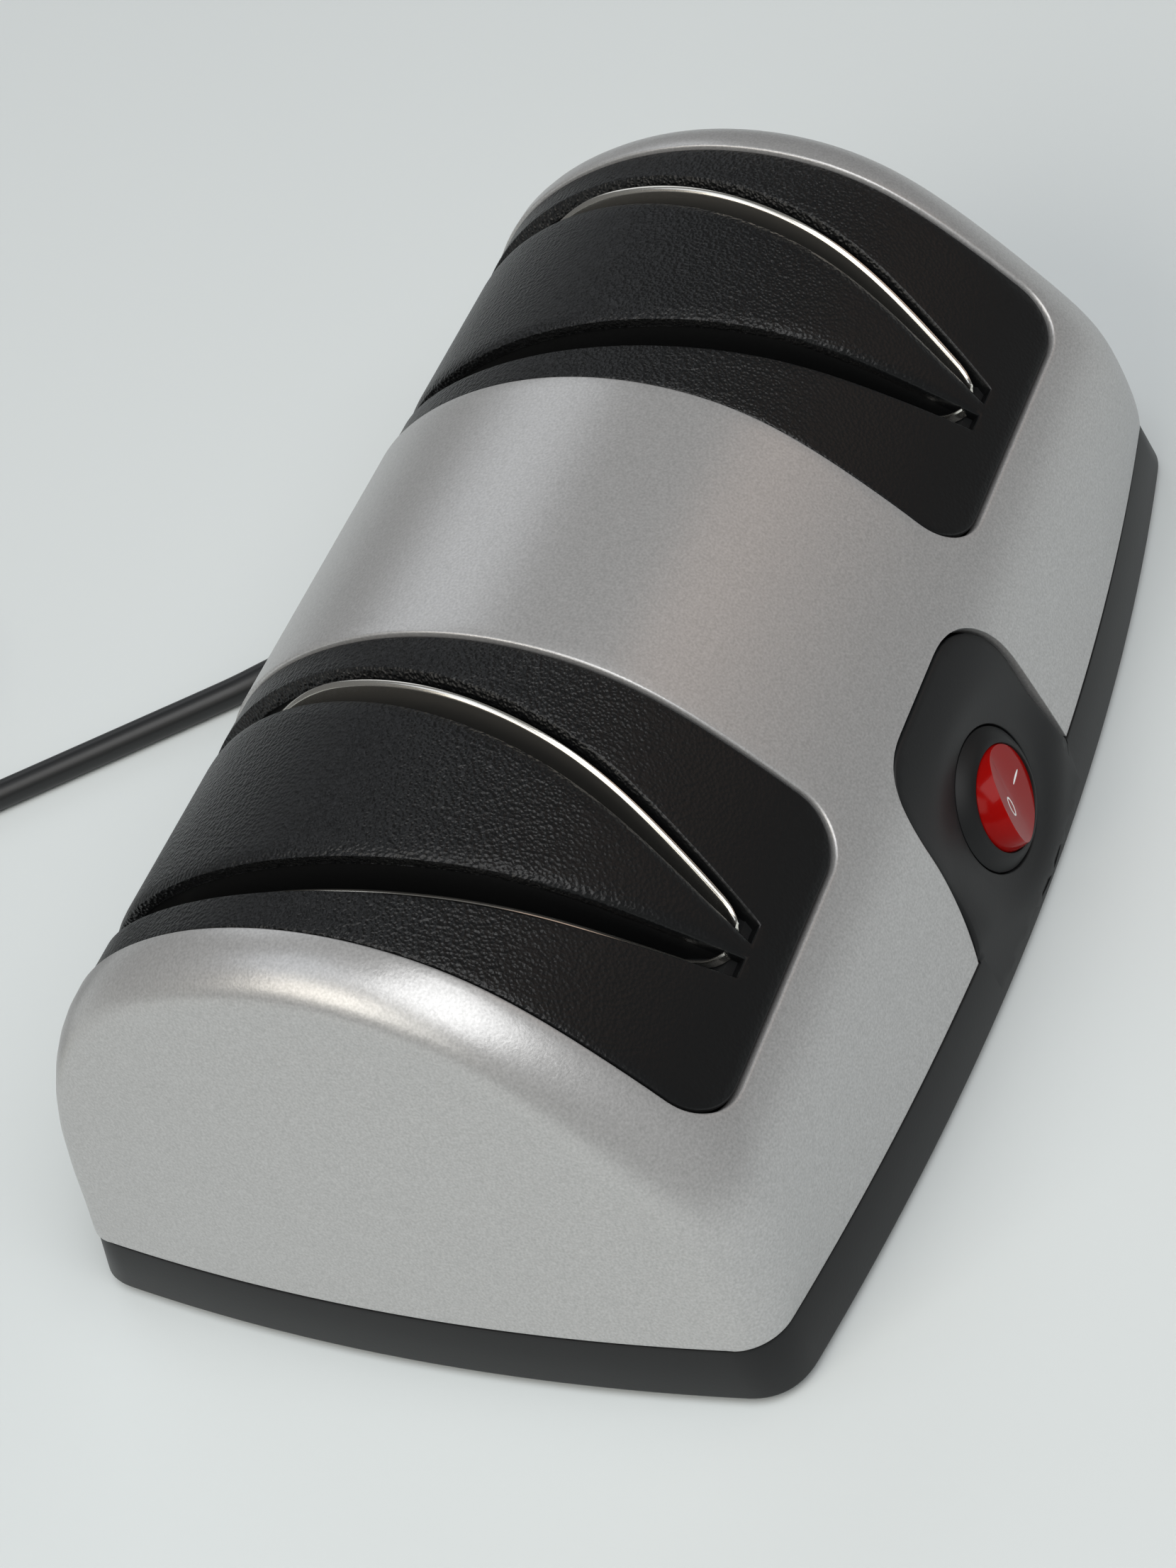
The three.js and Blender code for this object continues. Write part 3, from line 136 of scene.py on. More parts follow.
tail_steps = 4
plug_fall = -2.55
tail_way = [
    (0.3, 0), (8, 0), (15, -0.1), (20, -0.8), (26, -2.2),
    (32, plug_fall), (36, plug_fall), (44, plug_fall),
]


def eased(value, low, high):
    """0 below low, 1 above high, and a smooth rise between."""
    share = np.clip((value - low) / (high - low), 0, 1)
    return share * share * (3 - 2 * share)


def coil_point(turns):
    """A point of the coil: it winds in on the floor layer and out again on top."""
    middle = coil_turns / 2
    radius = coil_mean_radius + coil_pitch * (abs(turns - middle) - middle / 2)
    angle = coil_entry - turns * 2 * math.pi
    climb = eased(turns, middle - climb_turns, middle + climb_turns)
    x = coil_centre[0] + radius * math.cos(angle)
    y = coil_centre[1] + radius * math.sin(angle)
    return Vector((x, y, coil_low_z + climb * coil_pitch))


def coil_way(turns):
    """The level direction of the cord at a point of the coil."""
    way = coil_point(turns + 0.001) - coil_point(turns - 0.001)
    way.z = 0
    return way.normalized()


def smooth_way(points, parts):
    """Points on a smooth line through the given ones, with so many parts between each two."""
    points = [Vector(p) for p in points]
    ends = [2 * points[0] - points[1], *points, 2 * points[-1] - points[-2]]
    line = []
    for a, b, c, d in zip(ends, ends[1:], ends[2:], ends[3:]):
        for i in range(parts):
            t = i / parts
            bend = (2 * a - 5 * b + 4 * c - d) * t * t + (3 * b - a - 3 * c + d) * t**3
            line.append(0.5 * (2 * b + (c - a) * t + bend))
    return [*line, points[-1]]


turn_count = round(coil_turns * steps_per_turn)
coil_line = [coil_point(coil_turns * i / turn_count) for i in range(turn_count + 1)]
way_in = -coil_way(0)
way_out = coil_way(coil_turns)
lead_in = coil_line[0] + way_in * cord_diameter
tail_start = coil_line[-1] + way_out * cord_diameter
tail_line = [tail_start + way_out * along + Vector((0, 0, drop)) for along, drop in tail_way]
free_line = smooth_way([cord_exit, *relief_bend, *floor_way, lead_in, coil_line[0]], free_steps)
cord_line = [*free_line, *coil_line[1:], *smooth_way([coil_line[-1], *tail_line], tail_steps)[1:]]

spline_data = bpy.data.curves.new("mains_cord", "CURVE")
spline_data.dimensions = "3D"
spline_data.bevel_depth = cord_diameter / 2 * MM
spline_data.bevel_resolution = 6
spline_data.use_fill_caps = True
cord_spline = spline_data.splines.new("POLY")
cord_spline.points.add(len(cord_line) - 1)
for knot, point in zip(cord_spline.points, cord_line):
    knot.co = (*(point * MM), 1)
cord_spline.use_smooth = True
mains_cord = bpy.data.objects.new("mains_cord", spline_data)
bpy.context.collection.objects.link(mains_cord)
clothe(mains_cord, cord_pvc)
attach(mains_cord, "housing")
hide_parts("cord_run", "cord_coil", "cord_tail")


# Strain relief: a soft boot round the cord at the back wall, ribbed so that it bends evenly. It is
# moulded on the cord in the same PVC, and its root sits in the hole of the tray's wall.
def active_piece(name):
    """Names the object that an operator has just added."""
    piece = bpy.context.object
    piece.name = name
    piece.data.name = name
    return piece


def select_only(piece):
    """Leaves one piece selected and active, for the next operator."""
    bpy.ops.object.select_all(action="DESELECT")
    piece.select_set(True)
    bpy.context.view_layer.objects.active = piece


def in_edit_mode(piece, *steps):
    """Runs edit-mode operators on all of one piece."""
    select_only(piece)
    bpy.ops.object.mode_set(mode="EDIT")
    bpy.ops.mesh.select_mode(type="VERT")
    bpy.ops.mesh.select_all(action="SELECT")
    for step in steps:
        step()
    bpy.ops.object.mode_set(mode="OBJECT")


def shade_smooth(piece, angle=35):
    """Smooth shading, with edges kept where the surface turns more than an angle."""
    select_only(piece)
    bpy.ops.object.shade_smooth_by_angle(angle=math.radians(angle))


def placed_grid(name, rows):
    """A grid primitive whose vertices are set row by row to points in millimetres."""
    rows = np.asarray([[tuple(p) for p in row] for row in rows], float)
    along, across = len(rows), len(rows[0])
    bpy.ops.mesh.primitive_grid_add(x_subdivisions=across - 1, y_subdivisions=along - 1, size=1)
    piece = active_piece(name)
    piece.data.vertices.foreach_set("co", (rows * MM).ravel())
    piece.data.update()
    return piece


def rolled(name, rings, close=True):
    """A grid rolled into a tube through rings of points, its seam merged and its ends filled."""
    piece = placed_grid(name, [[*ring, ring[0]] for ring in rings])
    weld = 0.0005 * MM
    steps = [lambda: bpy.ops.mesh.remove_doubles(threshold=weld)]
    if close:
        steps.append(lambda: bpy.ops.mesh.fill_holes(sides=0))
    steps.append(lambda: bpy.ops.mesh.normals_make_consistent(inside=False))
    in_edit_mode(piece, *steps)
    return piece


def ring_round(centre, way, radius, count):
    """Points of a circle round a centre, square to a direction."""
    side = Vector((0, 0, 1)).cross(way).normalized()
    lift = way.cross(side).normalized()
    turns = [2 * math.pi * (i + 0.5) / count for i in range(count)]
    return [centre + radius * (math.sin(t) * side + math.cos(t) * lift) for t in turns]


relief_sides = 40
relief_root_radius = 4.3
relief_tip_radius = 3.3
relief_rib_count = 6
relief_rib_height = 0.35
relief_steps = 20
relief_line = smooth_way([cord_exit, *relief_bend, floor_way[0]], relief_steps)
relief_rings = []
for i, point in enumerate(relief_line):
    share = i / (len(relief_line) - 1)
    ahead = relief_line[min(i + 1, len(relief_line) - 1)]
    way = (ahead - relief_line[max(i - 1, 0)]).normalized()
    ripple = relief_rib_height * math.cos(2 * math.pi * relief_rib_count * share)
    radius = relief_root_radius + (relief_tip_radius - relief_root_radius) * share + min(ripple, 0)
    relief_rings.append(ring_round(point, way, radius, relief_sides))
strain_boot = rolled("strain_boot", relief_rings)
shade_smooth(strain_boot, 60)
clothe(strain_boot, cord_pvc)
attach(strain_boot, "housing")
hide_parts("strain_relief")

# Plug: a flat two-pin moulded plug at the cord's end, in the cord's own PVC, with brass pins.
# Its sides have shallow grip grooves.
plug_profile = [
    (0, 6.6, 6.6), (6, 7.1, 7.1), (12, 8.2, 8.2), (14, 11.4, 10), (17, 16, 11.7), (21, 20.6, 12.8),
    (25, 24, 13.3), (29.5, 26, 13.6), (32, 25.2, 13.6), (34.5, 26, 13.6), (37, 25.2, 13.6),
    (39.5, 26, 13.6), (45, 26, 13.6), (46.4, 25.4, 13), (47, 24, 11.6),
]
plug_square_share = 0.6
plug_sides = 48
plug_along = 32.3
plug_start = tail_start + way_out * plug_along + Vector((0, 0, plug_fall))
plug_turn = Matrix.Rotation(math.atan2(way_out.y, way_out.x), 4, "Z")
plug_place = Matrix.Translation(plug_start) @ plug_turn


def plug_ring(along, width, thickness):
    """A section of the plug: an oval squared off, wide across the pins."""
    ring = []
    for i in range(plug_sides):
        turn = 2 * math.pi * i / plug_sides
        across = math.copysign(abs(math.cos(turn)) ** plug_square_share, math.cos(turn))
        up = math.copysign(abs(math.sin(turn)) ** plug_square_share, math.sin(turn))
        ring.append(plug_place @ Vector((along, across * width / 2, up * thickness / 2)))
    return ring


plug = rolled("mains_plug", [plug_ring(*section) for section in plug_profile])
shade_smooth(plug, 40)
clothe(plug, cord_pvc)
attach(plug, "housing")
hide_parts("plug_body")

pin_spacing = 18.6
pin_radius = 1.98
pin_sections = [(41.3, pin_radius), (47.05, pin_radius), (64.2, pin_radius), (65.5, 1.5), (66, 0.6)]
pin_sides = 32
plug_way = Vector((way_out.x, way_out.y, 0))
# Drawn brass with a nickel flash: pale, bright and a little worn.
pin_brass, tree, shader = new_finish("nickel_flashed_brass", "#cfc9b4", 0.26, 1.0)
add_grain(tree, shader, 0.5, 0.002)
for name, side in (("left", -1), ("right", 1)):
    axis = plug_start + plug_turn.to_3x3() @ Vector((0, side * pin_spacing / 2, 0))
    rings = [
        ring_round(axis + plug_way * along, plug_way, radius, pin_sides)
        for along, radius in pin_sections
    ]
    pin = rolled(f"plug_pin_{name}_turned", rings)
    shade_smooth(pin)
    clothe(pin, pin_brass)
    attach(pin, "housing")
    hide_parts(f"plug_pin_{name}")

# Tie: a flat strap with rounded corners that holds the coil's turns together.
# Moulded rubber strap: matt, slightly dusty black.
strap_rubber, tree, shader = new_finish("strap_rubber_black", "#1d1d1d", 0.75)
add_grain(tree, shader, 0.7, 0.02)
tie_width = 7
tie_turn = math.radians(60)
tie_gap = 0.3
tie_wall = 0.5
tie_round = 0.12
tie_corner = cord_diameter / 2 + tie_gap
tie_half = coil_turns / 4 * coil_pitch + cord_diameter / 2 + tie_gap
tie_corner_steps = 8


def tie_loop(margin):
    """The strap's outline round the turns, in distance from the coil's middle and height."""
    x0, x1 = coil_mean_radius - tie_half, coil_mean_radius + tie_half
    z0, z1 = coil_low_z - tie_corner, coil_low_z + coil_pitch + tie_corner
    corners = [
        (x1 - tie_corner, z0 + tie_corner, -90), (x1 - tie_corner, z1 - tie_corner, 0),
        (x0 + tie_corner, z1 - tie_corner, 90), (x0 + tie_corner, z0 + tie_corner, 180),
    ]
    loop = []
    for x, z, start in corners:
        for i in range(tie_corner_steps + 1):
            turn = math.radians(start + 90 * i / tie_corner_steps)
            radius = tie_corner + margin
            loop.append((x + radius * math.cos(turn), z + radius * math.sin(turn)))
    return loop


def tie_ring(margin, across):
    """One edge of the strap, turned to its place on the coil."""
    turn = Matrix.Rotation(tie_turn, 3, "Z")
    centre = Vector((*coil_centre, 0))
    return [centre + turn @ Vector((x, across, z)) for x, z in tie_loop(margin)]


half = tie_width / 2
tie_edges = [
    (0, -half), (tie_wall - tie_round, -half), (tie_wall, -half + tie_round),
    (tie_wall, half - tie_round), (tie_wall - tie_round, half), (0, half), (0, -half),
]
coil_tie = rolled("coil_strap", [tie_ring(*edge) for edge in tie_edges], close=False)
shade_smooth(coil_tie, 40)
clothe(coil_tie, strap_rubber)
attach(coil_tie, "housing")
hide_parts("cord_tie")

# Housing: a moulded arched shell, sprayed silver, with an opening for each guide cover and a notch in
# front for the switch panel. Its curved edges need a net drawn to its outline, so it is made as a
# flat net, rounded at the openings, and then bent onto the arch.
corner_half_length = 100.4
end_bulge = 4.7
front_corner_y = -56.15
front_bulge = 9.4
rim_z = 12.3
rim_inset = 1.47
crest_z = 80.7
shell_wall = 2.4
end_draft_share = 0.135
bulge_fade_z = 45
least_roll = 0.8
arch_shares = [
    (0, 0), (0.033, 0.186), (0.066, 0.372), (0.189, 0.669), (0.337, 0.911),
    (0.52, 1), (0.707, 0.938), (0.867, 0.741), (0.965, 0.412), (1, 0),
]
roll_shares = [
    (0, 7, 7), (0.09, 12, 14.5), (0.2, 10.5, 16), (0.32, 7.5, 12.5),
    (0.5, 6.8, 10.2), (0.75, 5.5, 8.5), (0.9, 5.2, 7.5), (1, 6, 6.5),
]
arch_front_y = front_corner_y - front_bulge + rim_inset
arch_back_y = back_wall_y - rim_inset
plan_middle_y = (front_corner_y + back_wall_y) / 2
plan_half_depth = (back_wall_y - front_corner_y) / 2
arch_step = 0.25
arch_blur = 5.0
roll_blur = 9.0


def blurred(values, width, step):
    """Evens out a row of values over a width, and keeps both ends where they are."""
    reach = int(3 * width / step)
    offsets = np.arange(-reach, reach + 1) * step
    weights = np.exp(-0.5 * (offsets / width) ** 2)
    low = 2 * values[0] - values[reach:0:-1]
    high = 2 * values[-1] - values[-2 : -reach - 2 : -1]
    return np.convolve(np.concatenate([low, values, high]), weights / weights.sum(), "valid")


def even_line(points, step):
    """The same line with points at even steps of its length."""
    length = np.concatenate([[0], np.cumsum(np.linalg.norm(np.diff(points, axis=0), axis=1))])
    even = np.linspace(0, length[-1], round(length[-1] / step) + 1)
    return even, np.stack([np.interp(even, length, column) for column in points.T], 1)


arch_knots = [
    (arch_front_y + across * (arch_back_y - arch_front_y), rim_z + up * (crest_z - rim_z), 0)
    for across, up in arch_shares
]
raw_arch = np.array([tuple(p)[:2] for p in smooth_way(arch_knots, 60)])
arch_s, raw_arch = even_line(raw_arch, arch_step)
fair_arch = np.stack([blurred(column, arch_blur, arch_step) for column in raw_arch.T], 1)
arch_s, arch_yz = even_line(fair_arch, arch_step)
arch_along = np.gradient(arch_yz, arch_s, axis=0)
arch_along /= np.linalg.norm(arch_along, axis=1)[:, None]
arch_length = arch_s[-1]

roll_at = np.array(roll_shares)
roll_place = arch_s / arch_length
roll_index = np.clip(np.searchsorted(roll_at[:, 0], roll_place), 1, len(roll_at) - 1)
roll_mix = eased(roll_place, roll_at[roll_index - 1, 0], roll_at[roll_index, 0])[:, None]
roll_rows = roll_at[roll_index - 1, 1:] * (1 - roll_mix) + roll_at[roll_index, 1:] * roll_mix
roll_rows = np.stack([blurred(column, roll_blur, arch_step) for column in roll_rows.T], 1)


def end_face_x(y, z, inset):
    """How far out the flat end face stands at a depth and height."""
    aside = (y - plan_middle_y) / plan_half_depth
    foot = corner_half_length - rim_inset + end_bulge * (1 - aside * aside)
    return foot - end_draft_share * (z - rim_z) - inset


def arch_row(s, inset):
    """The arch's section at distances along it: its places, ways, rolled ends and forward lag."""
    s = np.clip(s, 0, arch_length)
    y, z, along_y, along_z = (np.interp(s, arch_s, c) for c in (*arch_yz.T, *arch_along.T))
    drop, reach = (np.maximum(np.interp(s, arch_s, c) - inset, least_roll) for c in roll_rows.T)
    fade = np.clip((bulge_fade_z - z) / (bulge_fade_z - rim_z), 0, None)
    lag = np.where(y < plan_middle_y, front_bulge * fade * fade, 0)
    base_y = y + inset * along_z
    base_z = z - inset * along_y
    edge_y = base_y + drop * along_z + lag
    edge_z = np.maximum(base_z - drop * along_y, rim_z)
    edge_x = end_face_x(edge_y, edge_z, inset)
    return base_y, base_z, along_y, along_z, drop, reach, lag, edge_x, edge_y, edge_z


def roll_span(s):
    """Where the end's roll begins, as the flat net has it, and how wide the roll is there."""
    row = arch_row(s, 0)
    return row[7] - row[5], (row[4] + row[5]) / 2 * math.pi / 2


def bend_to_arch(net, inset):
    """Bends points of the flat net onto the arch, at an inset below its surface."""
    u, s = net[:, 0], net[:, 1]
    start, width = roll_span(s)
    base_y, base_z, along_y, along_z, drop, reach, lag, edge_x, _, _ = arch_row(s, inset)
    turn = np.clip((np.abs(u) - start) / width, 0, 1) * math.pi / 2
    x = np.where(turn > 0, edge_x - reach + reach * np.sin(turn), np.abs(u)) * np.sign(u)
    fall = drop * (1 - np.cos(turn))
    y = base_y + fall * along_z + lag * (x / corner_half_length) ** 2
    z = np.maximum(base_z - fall * along_y, rim_z)
    return np.stack([x, y, z], 1)


def distance_at_y(y):
    """Distance along the arch where its middle section passes a depth."""
    return np.interp(y, arch_yz[:, 0], arch_s)


def flat_across(x, s):
    """The flat net's across place for a real distance from the middle."""
    start, width = roll_span(s)
    reach = arch_row(s, 0)[5]
    beyond = np.clip((np.abs(x) - start) / reach, 0, 1)
    rolled_out = start + np.arcsin(beyond) / (math.pi / 2) * width
    return np.sign(x) * np.where(np.abs(x) > start, rolled_out, np.abs(x))


def even_loop(points, step):
    """A closed loop with points at about even steps, its sharp corners kept by the caller's order."""
    points = np.asarray(points, float)
    _, line = even_line(np.concatenate([points, points[:1]]), step)
    return line[:-1]


def loop_normals(loop):
    """Outward normals of a loop that runs anticlockwise."""
    along = np.roll(loop, -1, 0) - np.roll(loop, 1, 0)
    along /= np.linalg.norm(along, axis=1)[:, None] + 1e-9
    return np.stack([along[:, 1], -along[:, 0]], 1)


def inside_loop(points, loop):
    """Which points lie inside a closed loop."""
    inside = np.zeros(len(points), bool)
    x, y = points[:, 0], points[:, 1]
    for (x0, y0), (x1, y1) in zip(loop, np.roll(loop, -1, 0)):
        if y0 == y1:
            continue
        crosses = (y0 > y) != (y1 > y)
        inside ^= crosses & (x < (x1 - x0) * (y - y0) / (y1 - y0) + x0)
    return inside


def near_loop(points, loop, gap):
    """Which points lie closer to a loop's vertices than a gap."""
    near = np.zeros(len(points), bool)
    for vertex in loop:
        near |= ((points - vertex) ** 2).sum(1) < gap * gap
    return near


round_steps = 4
spot_gap_share = 0.6


def flat_net(outer, holes, spacing, outer_round=None, hole_rounds=()):
    """A net of triangles inside an outline and round its holes. A rounding gives each vertex of a
    loop the reach and drop of its rounded edge. Returns points, drops, triangles and the loops."""
    fixed, drops, edges, loops = [], [], [], []
    inner_loops = []
    for k, loop in enumerate([outer, *holes]):
        rounding = outer_round if k == 0 else hole_rounds[k - 1]
        sense = -1 if k == 0 else 1
        steps = range(round_steps + 1) if rounding is not None else range(1)
        for step in steps:
            turn = step / round_steps * math.pi / 2
            if rounding is None:
                ring, drop = loop, np.zeros(len(loop))
            else:
                out = loop_normals(loop) * (rounding[:, :1] * (1 - math.cos(turn)))
                ring, drop = loop + sense * out, rounding[:, 1] * (1 - math.sin(turn))
            first = len(fixed)
            fixed.extend(ring)
            drops.extend(drop)
            edges.extend((first + i, first + (i + 1) % len(ring)) for i in range(len(ring)))
            if step == 0:
                loops.append(range(first, first + len(ring)))
        inner_loops.append(ring)
    low, high = outer.min(0), outer.max(0)
    across, up = (np.arange(a + spacing / 2, b, spacing) for a, b in zip(low, high))
    spots = np.stack(np.meshgrid(across, up), -1).reshape(-1, 2)
    keep = inside_loop(spots, inner_loops[0])
    for loop in inner_loops[1:]:
        keep &= ~inside_loop(spots, loop)
    spots = spots[keep]
    for loop in inner_loops:
        spots = spots[~near_loop(spots, loop, spacing * spot_gap_share)]
    points = [Vector(p) for p in (*fixed, *spots)]
    made = delaunay_2d_cdt(points, edges, [], 0, 1e-7)
    points_out, triangles, origins = made[0], np.array(made[2]), made[3]
    net = np.array([tuple(p) for p in points_out])
    drop_of = np.zeros(len(net))
    new_index = {}
    for i, sources in enumerate(origins):
        for source in sources:
            new_index[source] = i
            if source < len(drops):
                drop_of[i] = drops[source]
    centres = net[triangles].mean(1)
    keep = inside_loop(centres, outer)
    for loop in holes:
        keep &= ~inside_loop(centres, loop)
    loops = [[new_index[i] for i in loop] for loop in loops]
    return net, drop_of, triangles[keep], loops


def mesh_piece(name, points, faces):
    """A piece from points in millimetres and faces, doubles merged."""
    data = bpy.data.meshes.new(name)
    data.from_pydata((np.asarray(points) * MM).tolist(), [], [list(map(int, f)) for f in faces])
    piece = bpy.data.objects.new(name, data)
    bpy.context.collection.objects.link(piece)
    in_edit_mode(
        piece,
        lambda: bpy.ops.mesh.remove_doubles(threshold=0.002 * MM),
        lambda: bpy.ops.mesh.fill_holes(sides=8),
        lambda: bpy.ops.mesh.normals_make_consistent(inside=False),
    )
    return piece


def wall_between(top, bottom, flip):
    """Faces between two closed loops of equal count."""
    count = len(top)
    faces = []
    for i in range(count):
        j = (i + 1) % count
        face = [top[i], top[j], bottom[j], bottom[i]]
        faces.append(face[::-1] if flip else face)
    return faces


def rounded_outline(x0, x1, y0, y1, rx, ry):
    """A rectangle in plan with rounded corners, anticlockwise."""
    corners = [
        (x0 + rx, y0 + ry, 180), (x1 - rx, y0 + ry, 270), (x1 - rx, y1 - ry, 0), (x0 + rx, y1 - ry, 90),
    ]
    outline = []
    for x, y, start in corners:
        for i in range(corner_steps + 1):
            turn = math.radians(start + 90 * i / corner_steps)
            outline.append((x + rx * math.cos(turn), y + ry * math.sin(turn)))
    return np.array(outline)


def plan_to_net(outline):
    """Takes an outline in plan to the flat net."""
    fine = even_loop(outline, plan_step)
    s = distance_at_y(fine[:, 1])
    return np.stack([flat_across(fine[:, 0], s), s], 1)


corner_steps = 12
plan_step = 0.5
stage_x = 56.85
cover_length = 56.7
cover_front_y = -50.9
cover_back_y = 57
cover_corner = (8.5, 5.5)
cover_gap = 0.3
loop_step = 0.9
net_spacing = 1.7
edge_round = 0.35


def cover_outline(middle, margin):
    """A guide cover's outline in plan, grown by a margin."""
    return rounded_outline(
        middle - cover_length / 2 - margin, middle + cover_length / 2 + margin,
        cover_front_y - margin, cover_back_y + margin,
        cover_corner[0] + margin, cover_corner[1] + margin,
    )


panel_feet = {-1: 25.8, 1: 20.4}
panel_waist = 20.6
panel_waist_z = 30
panel_top_z = 42.4
panel_top_half = 8.5
panel_flare_share = 0.45
panel_steps = 14


def bent_line(start, corner, end, steps):
    """Points of a quadratic bend, without its first."""
    shares = [i / steps for i in range(1, steps + 1)]
    start, corner, end = (np.array(p, float) for p in (start, corner, end))
    return [(1 - t) ** 2 * start + 2 * t * (1 - t) * corner + t * t * end for t in shares]


def panel_side(margin, side):
    """One edge of the switch panel from the rim to the middle of its top, in x and z."""
    foot, waist, top = panel_feet[side] + margin, panel_waist + margin, panel_top_z + margin
    flare_z = rim_z + panel_flare_share * (panel_waist_z - rim_z)
    line = [np.array((foot, rim_z))]
    flare_x = min(waist, foot) + margin
    line += bent_line(line[-1], (flare_x, flare_z), (waist, panel_waist_z), panel_steps)
    line += bent_line(line[-1], (waist - margin, top), (panel_top_half, top), panel_steps)
    return np.array([*line, (0, top)]) * (side, 1)


def panel_outline(margin):
    """The whole edge over the rim, from its left foot round to its right foot, in the flat net."""
    line = np.concatenate([panel_side(margin, -1), panel_side(margin, 1)[-2::-1]])
    line = even_line(line, loop_step)[1]
    s = np.interp(line[:, 1], arch_yz[: len(arch_yz) // 3, 1], arch_s[: len(arch_s) // 3])
    return np.stack([line[:, 0], s], 1)


seam_gap = 0.6
rim_touch = 1e-4


def end_edge_u(s):
    """The flat net's across place where the end's roll meets the end face."""
    start, width = roll_span(s)
    return start + width


def housing_outline():
    """The silver shell's edge in the flat net, anticlockwise from the panel notch's right foot."""
    notch = panel_outline(seam_gap)
    side_s = np.linspace(0, arch_length, round(arch_length / loop_step) + 1)
    right = np.stack([end_edge_u(side_s), side_s], 1)
    left = right[::-1] * (-1, 1)
    front_right = np.linspace(notch[-1], right[0], round(corner_half_length / loop_step))
    back = np.linspace(right[-1], left[0], round(2 * corner_half_length / loop_step))
    front_left = np.linspace(left[-1], notch[0], round(corner_half_length / loop_step))
    return np.concatenate([front_right, right[1:], back[1:], left[1:], front_left[1:], notch[1:-1]])


def end_face(side, inset):
    """The flat end's net: its curved edge is the roll's, and its foot is the rim."""
    s = np.linspace(0, arch_length, round(arch_length / loop_step) + 1)
    edge = bend_to_arch(np.stack([end_edge_u(s), s], 1), inset)
    raised = np.where(edge[:, 2] > rim_z + rim_touch)[0]
    edge = edge[raised[0] - 1 : raised[-1] + 2]
    foot = np.linspace(edge[-1], edge[0], round(2 * plan_half_depth / loop_step))[1:-1]
    loop = np.concatenate([edge, foot])[::-1]
    net, _, triangles, rims = flat_net(loop[:, 1:], [], net_spacing)
    x = end_face_x(net[:, 0], net[:, 1], inset)
    x[rims[0]] = np.where(loop[:, 2] > rim_z + rim_touch, loop[:, 0], x[rims[0]])
    foot_line = [rims[0][-1], *rims[0][: len(foot) + 1]]
    return np.column_stack([side * x, net]), triangles, foot_line


outline = housing_outline()
openings = [
    even_loop(plan_to_net(cover_outline(x, cover_gap)), loop_step) for x in (-stage_x, stage_x)
]
rounds = [np.full((len(loop), 2), edge_round) for loop in openings]
net, drops, triangles, loops = flat_net(outline, openings, net_spacing, None, rounds)
skin = bend_to_arch(net, drops)
lining = bend_to_arch(net, shell_wall)
count = len(skin)
points = [*skin, *lining]
faces = [*triangles, *(triangles[:, ::-1] + count)]
for loop in loops[1:]:
    faces += wall_between(loop, [i + count for i in loop], True)
rim = loops[0]
for a, b in zip(rim, rim[1:] + rim[:1]):
    on_end = all(abs(abs(net[i, 0]) - end_edge_u(net[i, 1])) < 0.01 for i in (a, b))
    if not on_end or max(skin[a, 2], skin[b, 2]) < rim_z + rim_touch:
        faces.append([a, b, b + count, a + count])
for side in (-1, 1):
    feet_of_end = []
    for inset in (0, shell_wall):
        end_points, end_triangles, foot_line = end_face(side, inset)
        faces += list(end_triangles + len(points))
        feet_of_end.append([i + len(points) for i in foot_line])
        points += list(end_points)
    outer_foot, inner_foot = feet_of_end
    for i in range(len(outer_foot) - 1):
        faces.append([outer_foot[i], outer_foot[i + 1], inner_foot[i + 1], inner_foot[i]])
housing_shell = mesh_piece("housing_shell", points, faces)
shade_smooth(housing_shell, 40)

# Silver metallic lacquer over ABS: fine aluminium flake under a satin top coat, with a light orange
# peel. The flake is drawn at 0.4 mm, coarser than it is, so that it shows.
flake_grain = 0.4
peel_grain = 1.5
lacquer_relief = 0.02
lacquer_edge = 0.25
silver_lacquer, tree, shader = new_finish("silver_lacquer_on_abs", "#b6b6b6", 0.33, 0.5)
place = add_node(tree, "TexCoord").outputs["Object"]
flake = add_node(tree, "TexNoise", {"Vector": place, "Scale": 1 / (flake_grain * MM), "Detail": 3.0})
peel = add_node(tree, "TexNoise", {"Vector": place, "Scale": 1 / (peel_grain * MM), "Detail": 1.0})
flake_tone = add_node(tree, "ValToRGB", {"Fac": flake.outputs["Fac"]})
tone_stops = ((0.3, "#ababab"), (0.7, "#c1c1c1"))
for stop, (position, hex_colour) in zip(flake_tone.color_ramp.elements, tone_stops):
    stop.position = position
    stop.color = linear(hex_colour)
tree.links.new(flake_tone.outputs["Color"], shader.inputs["Base Color"])
soft_edge = add_node(tree, "Bevel", {"Radius": lacquer_edge * MM}, samples=4)
peel_bump = add_node(tree, "Bump", {
    "Height": peel.outputs["Fac"], "Distance": lacquer_relief * MM, "Strength": 1.0,
    "Normal": soft_edge.outputs["Normal"],
})
flake_bump = add_node(tree, "Bump", {
    "Height": flake.outputs["Fac"], "Distance": lacquer_relief * MM, "Strength": 1.0,
    "Normal": peel_bump.outputs["Normal"],
})
tree.links.new(flake_bump.outputs["Normal"], shader.inputs["Normal"])
clothe(housing_shell, silver_lacquer)
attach(housing_shell, "housing")
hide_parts("upper_housing")

# Tray: a deep moulded base in black ABS with drafted walls, a lip that the housing drops over, cooling
# slots, pedestals for the shaft, saddles for the motor, and bosses for the four screws.
foot_standoff = 1.5
tray_wall = 2.4
tray_floor = 2.5
tray_edge = 0.8
lip_inset = rim_inset + shell_wall + 0.7
lip_wall = 1.6
lip_height = 2
lip_taper = 0.8
lip_root_z = 8.5
plan_corner_radius = 7
side_steps = (80, 44, 2, 44)
plan_corner_steps = 14
tray_draft = rim_inset / (rim_z - foot_standoff - tray_edge)


